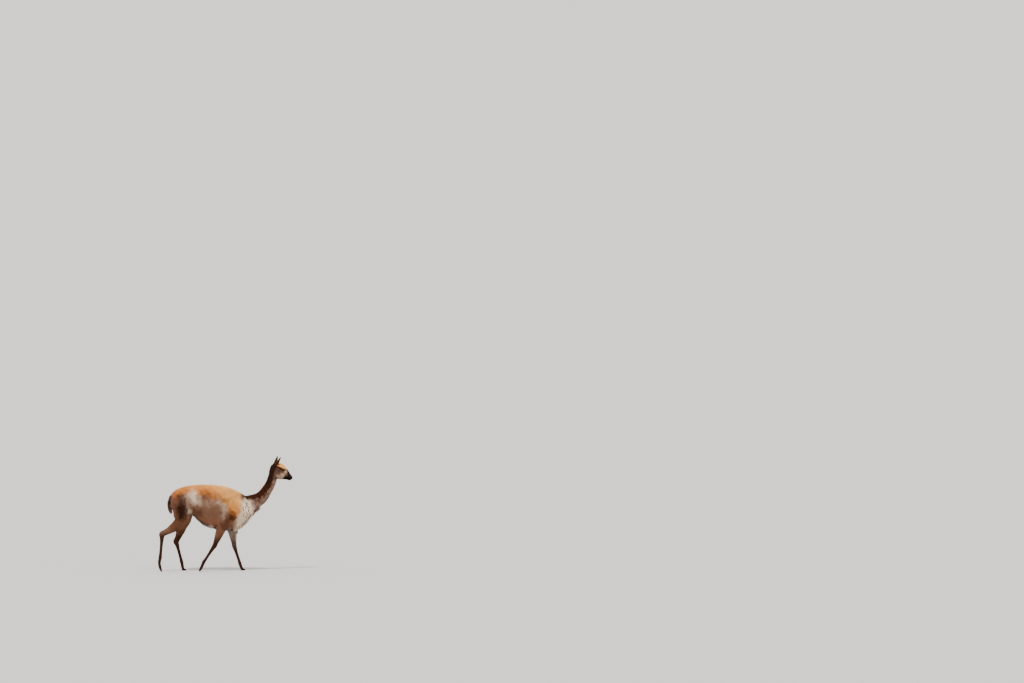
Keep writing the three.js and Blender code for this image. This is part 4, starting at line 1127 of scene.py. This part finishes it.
# Bare skin of the rims, hair of the lashes
lid_skin, tree = new_material("bare_lid_skin")
finish_surface(tree, Base_Color=(*LID_RIM, 1), Roughness=0.55, IOR=1.4, Specular_IOR_Level=0.15)
lash_hair, tree = new_material("lash_hair")
finish_surface(tree, Base_Color=(*LID_RIM, 1), Roughness=0.6, IOR=1.4, Specular_IOR_Level=0.15)
for side, name in ((-1, "eye_right"), (1, "eye_left")):
    centre = Vector(EYE_AT) * Vector((1, side, 1))
    at = head_place @ centre
    outwards = (head_place.to_3x3() @ Vector((0.12, side, 0.03))).normalized()
    turn = Vector((0, 0, 1)).rotation_difference(outwards).to_matrix().to_4x4()
    bm = bmesh.new()
    bmesh.ops.create_uvsphere(bm, u_segments=48, v_segments=36, radius=EYE_RADIUS)
    for vert in bm.verts:
        vert.co.z += CORNEA_RISE * float(smooth(0.62, 0.95, vert.co.z / EYE_RADIUS))
    bmesh.ops.transform(bm, matrix=Matrix.Translation(at) @ turn, verts=bm.verts)
    ball = to_object(bm, name + "_ball")
    off = (vertex_array(ball.data.vertices, "co") / MM - np.array(at)) / EYE_RADIUS
    level_off, up_off = off @ np.array(ahead[:, 0]) - 0.12, off @ np.array(ahead[:, 2]) - 0.03
    facing = off @ np.array(outwards) > 0
    off_pupil = np.hypot(level_off / PUPIL_RADII[0], up_off / PUPIL_RADII[1])
    store(ball.data, "pupil", smooth(1.15, 0.85, off_pupil) * facing, "FLOAT")
    dress(ball, wet_eye)
    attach(ball, "root")
    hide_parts(name)

    bm = bmesh.new()
    before = first = None
    for i in range(RIM_STEPS):
        angle = 2 * math.pi * i / RIM_STEPS
        point = slit_point(angle, side, EYE_RADIUS + 0.9)
        lead = slit_point(angle + 0.02, side, EYE_RADIUS) - slit_point(angle - 0.02, side, EYE_RADIUS)
        face = Vector((0, 0, 1)).rotation_difference(lead.normalized()).to_matrix().to_4x4()
        place = Matrix.Translation(point) @ face
        ring = bmesh.ops.create_circle(bm, segments=8, radius=RIM_GIRTH, matrix=place)["verts"]
        before = join_ring(bm, ring, before)
        first = first or before
    bmesh.ops.bridge_loops(bm, edges=before + first)
    bmesh.ops.transform(bm, matrix=head_place, verts=bm.verts)
    rim = to_object(bm, name + "_lids")
    dress(rim, lid_skin)
    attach(rim, "root")

    bm = bmesh.new()
    points, faces = tuft_form(LASH_RINGS)
    for i in range(LASHES):
        angle = math.radians(LASH_START + LASH_STEP * i)
        root = slit_point(angle, side, EYE_RADIUS + 1.8)
        out = (root - centre).normalized()
        long = 7.5 + 2.5 * math.sin(1.9 * i) ** 2
        lash = []
        for a, b, k in points:
            share = k / LASH_RINGS
            sweep = out * 0.8 + Vector((0.3 + 0.12 * math.sin(2.7 * i), 0, -0.42 + 0.5 * share))
            thick = LASH_GIRTH * (1 - 0.5 * share)
            lash.append(bm.verts.new(root + sweep * long * share + Vector((a, 0, b)) * thick))
        for face in faces:
            bm.faces.new([lash[j] for j in face])
    bmesh.ops.transform(bm, matrix=head_place, verts=bm.verts)
    lashes = to_object(bm, name + "_lashes")
    dress(lashes, lash_hair)
    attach(lashes, "root")

# Nails
# Each toe ends in a short curved nail of dark smooth horn.
HORN_DARK, HORN_PALE = linear("1B1412"), linear("3A2C26")
HORN_GRAIN_MM = 3
horn, tree = new_material("worn_horn")
place = node(tree, "TexCoord").outputs["Object"]
streaks = node(tree, "TexNoise", Vector=place, Scale=1 / (HORN_GRAIN_MM * MM), Detail=3.0)
tone = node(tree, "MixRGB", Fac=streaks.outputs["Fac"], Color1=(*HORN_DARK, 1),
            Color2=(*HORN_PALE, 1))
finish_surface(tree, Base_Color=tone.outputs[0], Roughness=0.42, IOR=1.54)
for name, cad_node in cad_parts.items():
    if "nail" in name:
        bm = bmesh.new()
        bm.from_mesh(cad_node.data)
        bmesh.ops.remove_doubles(bm, verts=bm.verts, dist=1e-5)
        nail = settle(
            to_object(bm, name + "_horn", 1.0), ("SUBSURF", {"levels": 2, "render_levels": 2}),
            *melt(0.8, 3), ("DECIMATE", {"ratio": 0.3}),
        )
        dress(nail, horn)
        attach(nail, "root")
        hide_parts(name)

# Floor, light and camera
# A plain pale floor under a high soft light, seen from the animal's right by a long lens. The floor's tone is
# the one that looks like the sky in this light, so that no horizon shows.
LIGHTS = {"key": (3.7, 12, (0.35, 0.75, -1.3)), "fill": (0.5, 60, (-0.6, 0.9, -0.5))}
SKY = linear("F4F1EC") * 1.45
on_floor = 0.0
for name, (strength, softness, toward) in LIGHTS.items():
    light = bpy.data.lights.new(name, "SUN")
    light.energy = strength
    light.angle = math.radians(softness)
    add_object(name, light).rotation_euler = Vector(toward).to_track_quat("-Z", "Y").to_euler()
    on_floor += strength * -Vector(toward).normalized().z / math.pi

world = bpy.data.worlds.new("studio")
bpy.context.scene.world = world
world.use_nodes = True
world.node_tree.nodes["Background"].inputs["Color"].default_value = (*SKY, 1)

bm = bmesh.new()
bmesh.ops.create_grid(bm, x_segments=4, y_segments=4, size=400)
floor = to_object(bm, "floor", 1.0)
floor_paint, tree = new_material("pale_floor")
finish_surface(tree, Base_Color=(*(SKY / (SKY + on_floor)), 1), Roughness=0.9, Specular_IOR_Level=0.0)
floor.data.materials.append(floor_paint)

# The photograph is 1024 by 683 pixels; one pixel is 10.4 mm at the animal, whose floor is at row 570
PIXEL = 10.4 * MM
PHOTO = (1024, 683)
FOOT_ROW, MIDDLE_COLUMN = 570.3, 225.5
LENS, SENSOR = 200, 36
DISTANCE = PHOTO[0] * PIXEL / SENSOR * LENS
ELEVATION = math.radians(3)
MIDDLE_HEIGHT = 0.6
target = Vector(((PHOTO[0] / 2 - MIDDLE_COLUMN) * PIXEL, 0, (FOOT_ROW - PHOTO[1] / 2) * PIXEL))
camera = add_object("camera", bpy.data.cameras.new("camera"))
camera.data.lens = LENS
camera.data.sensor_width = SENSOR
camera.data.clip_end = 500
camera.location = (0, -DISTANCE * math.cos(ELEVATION), DISTANCE * math.sin(ELEVATION) + MIDDLE_HEIGHT)
camera.rotation_euler = (target - camera.location).to_track_quat("-Z", "Y").to_euler()
bpy.context.scene.camera = camera
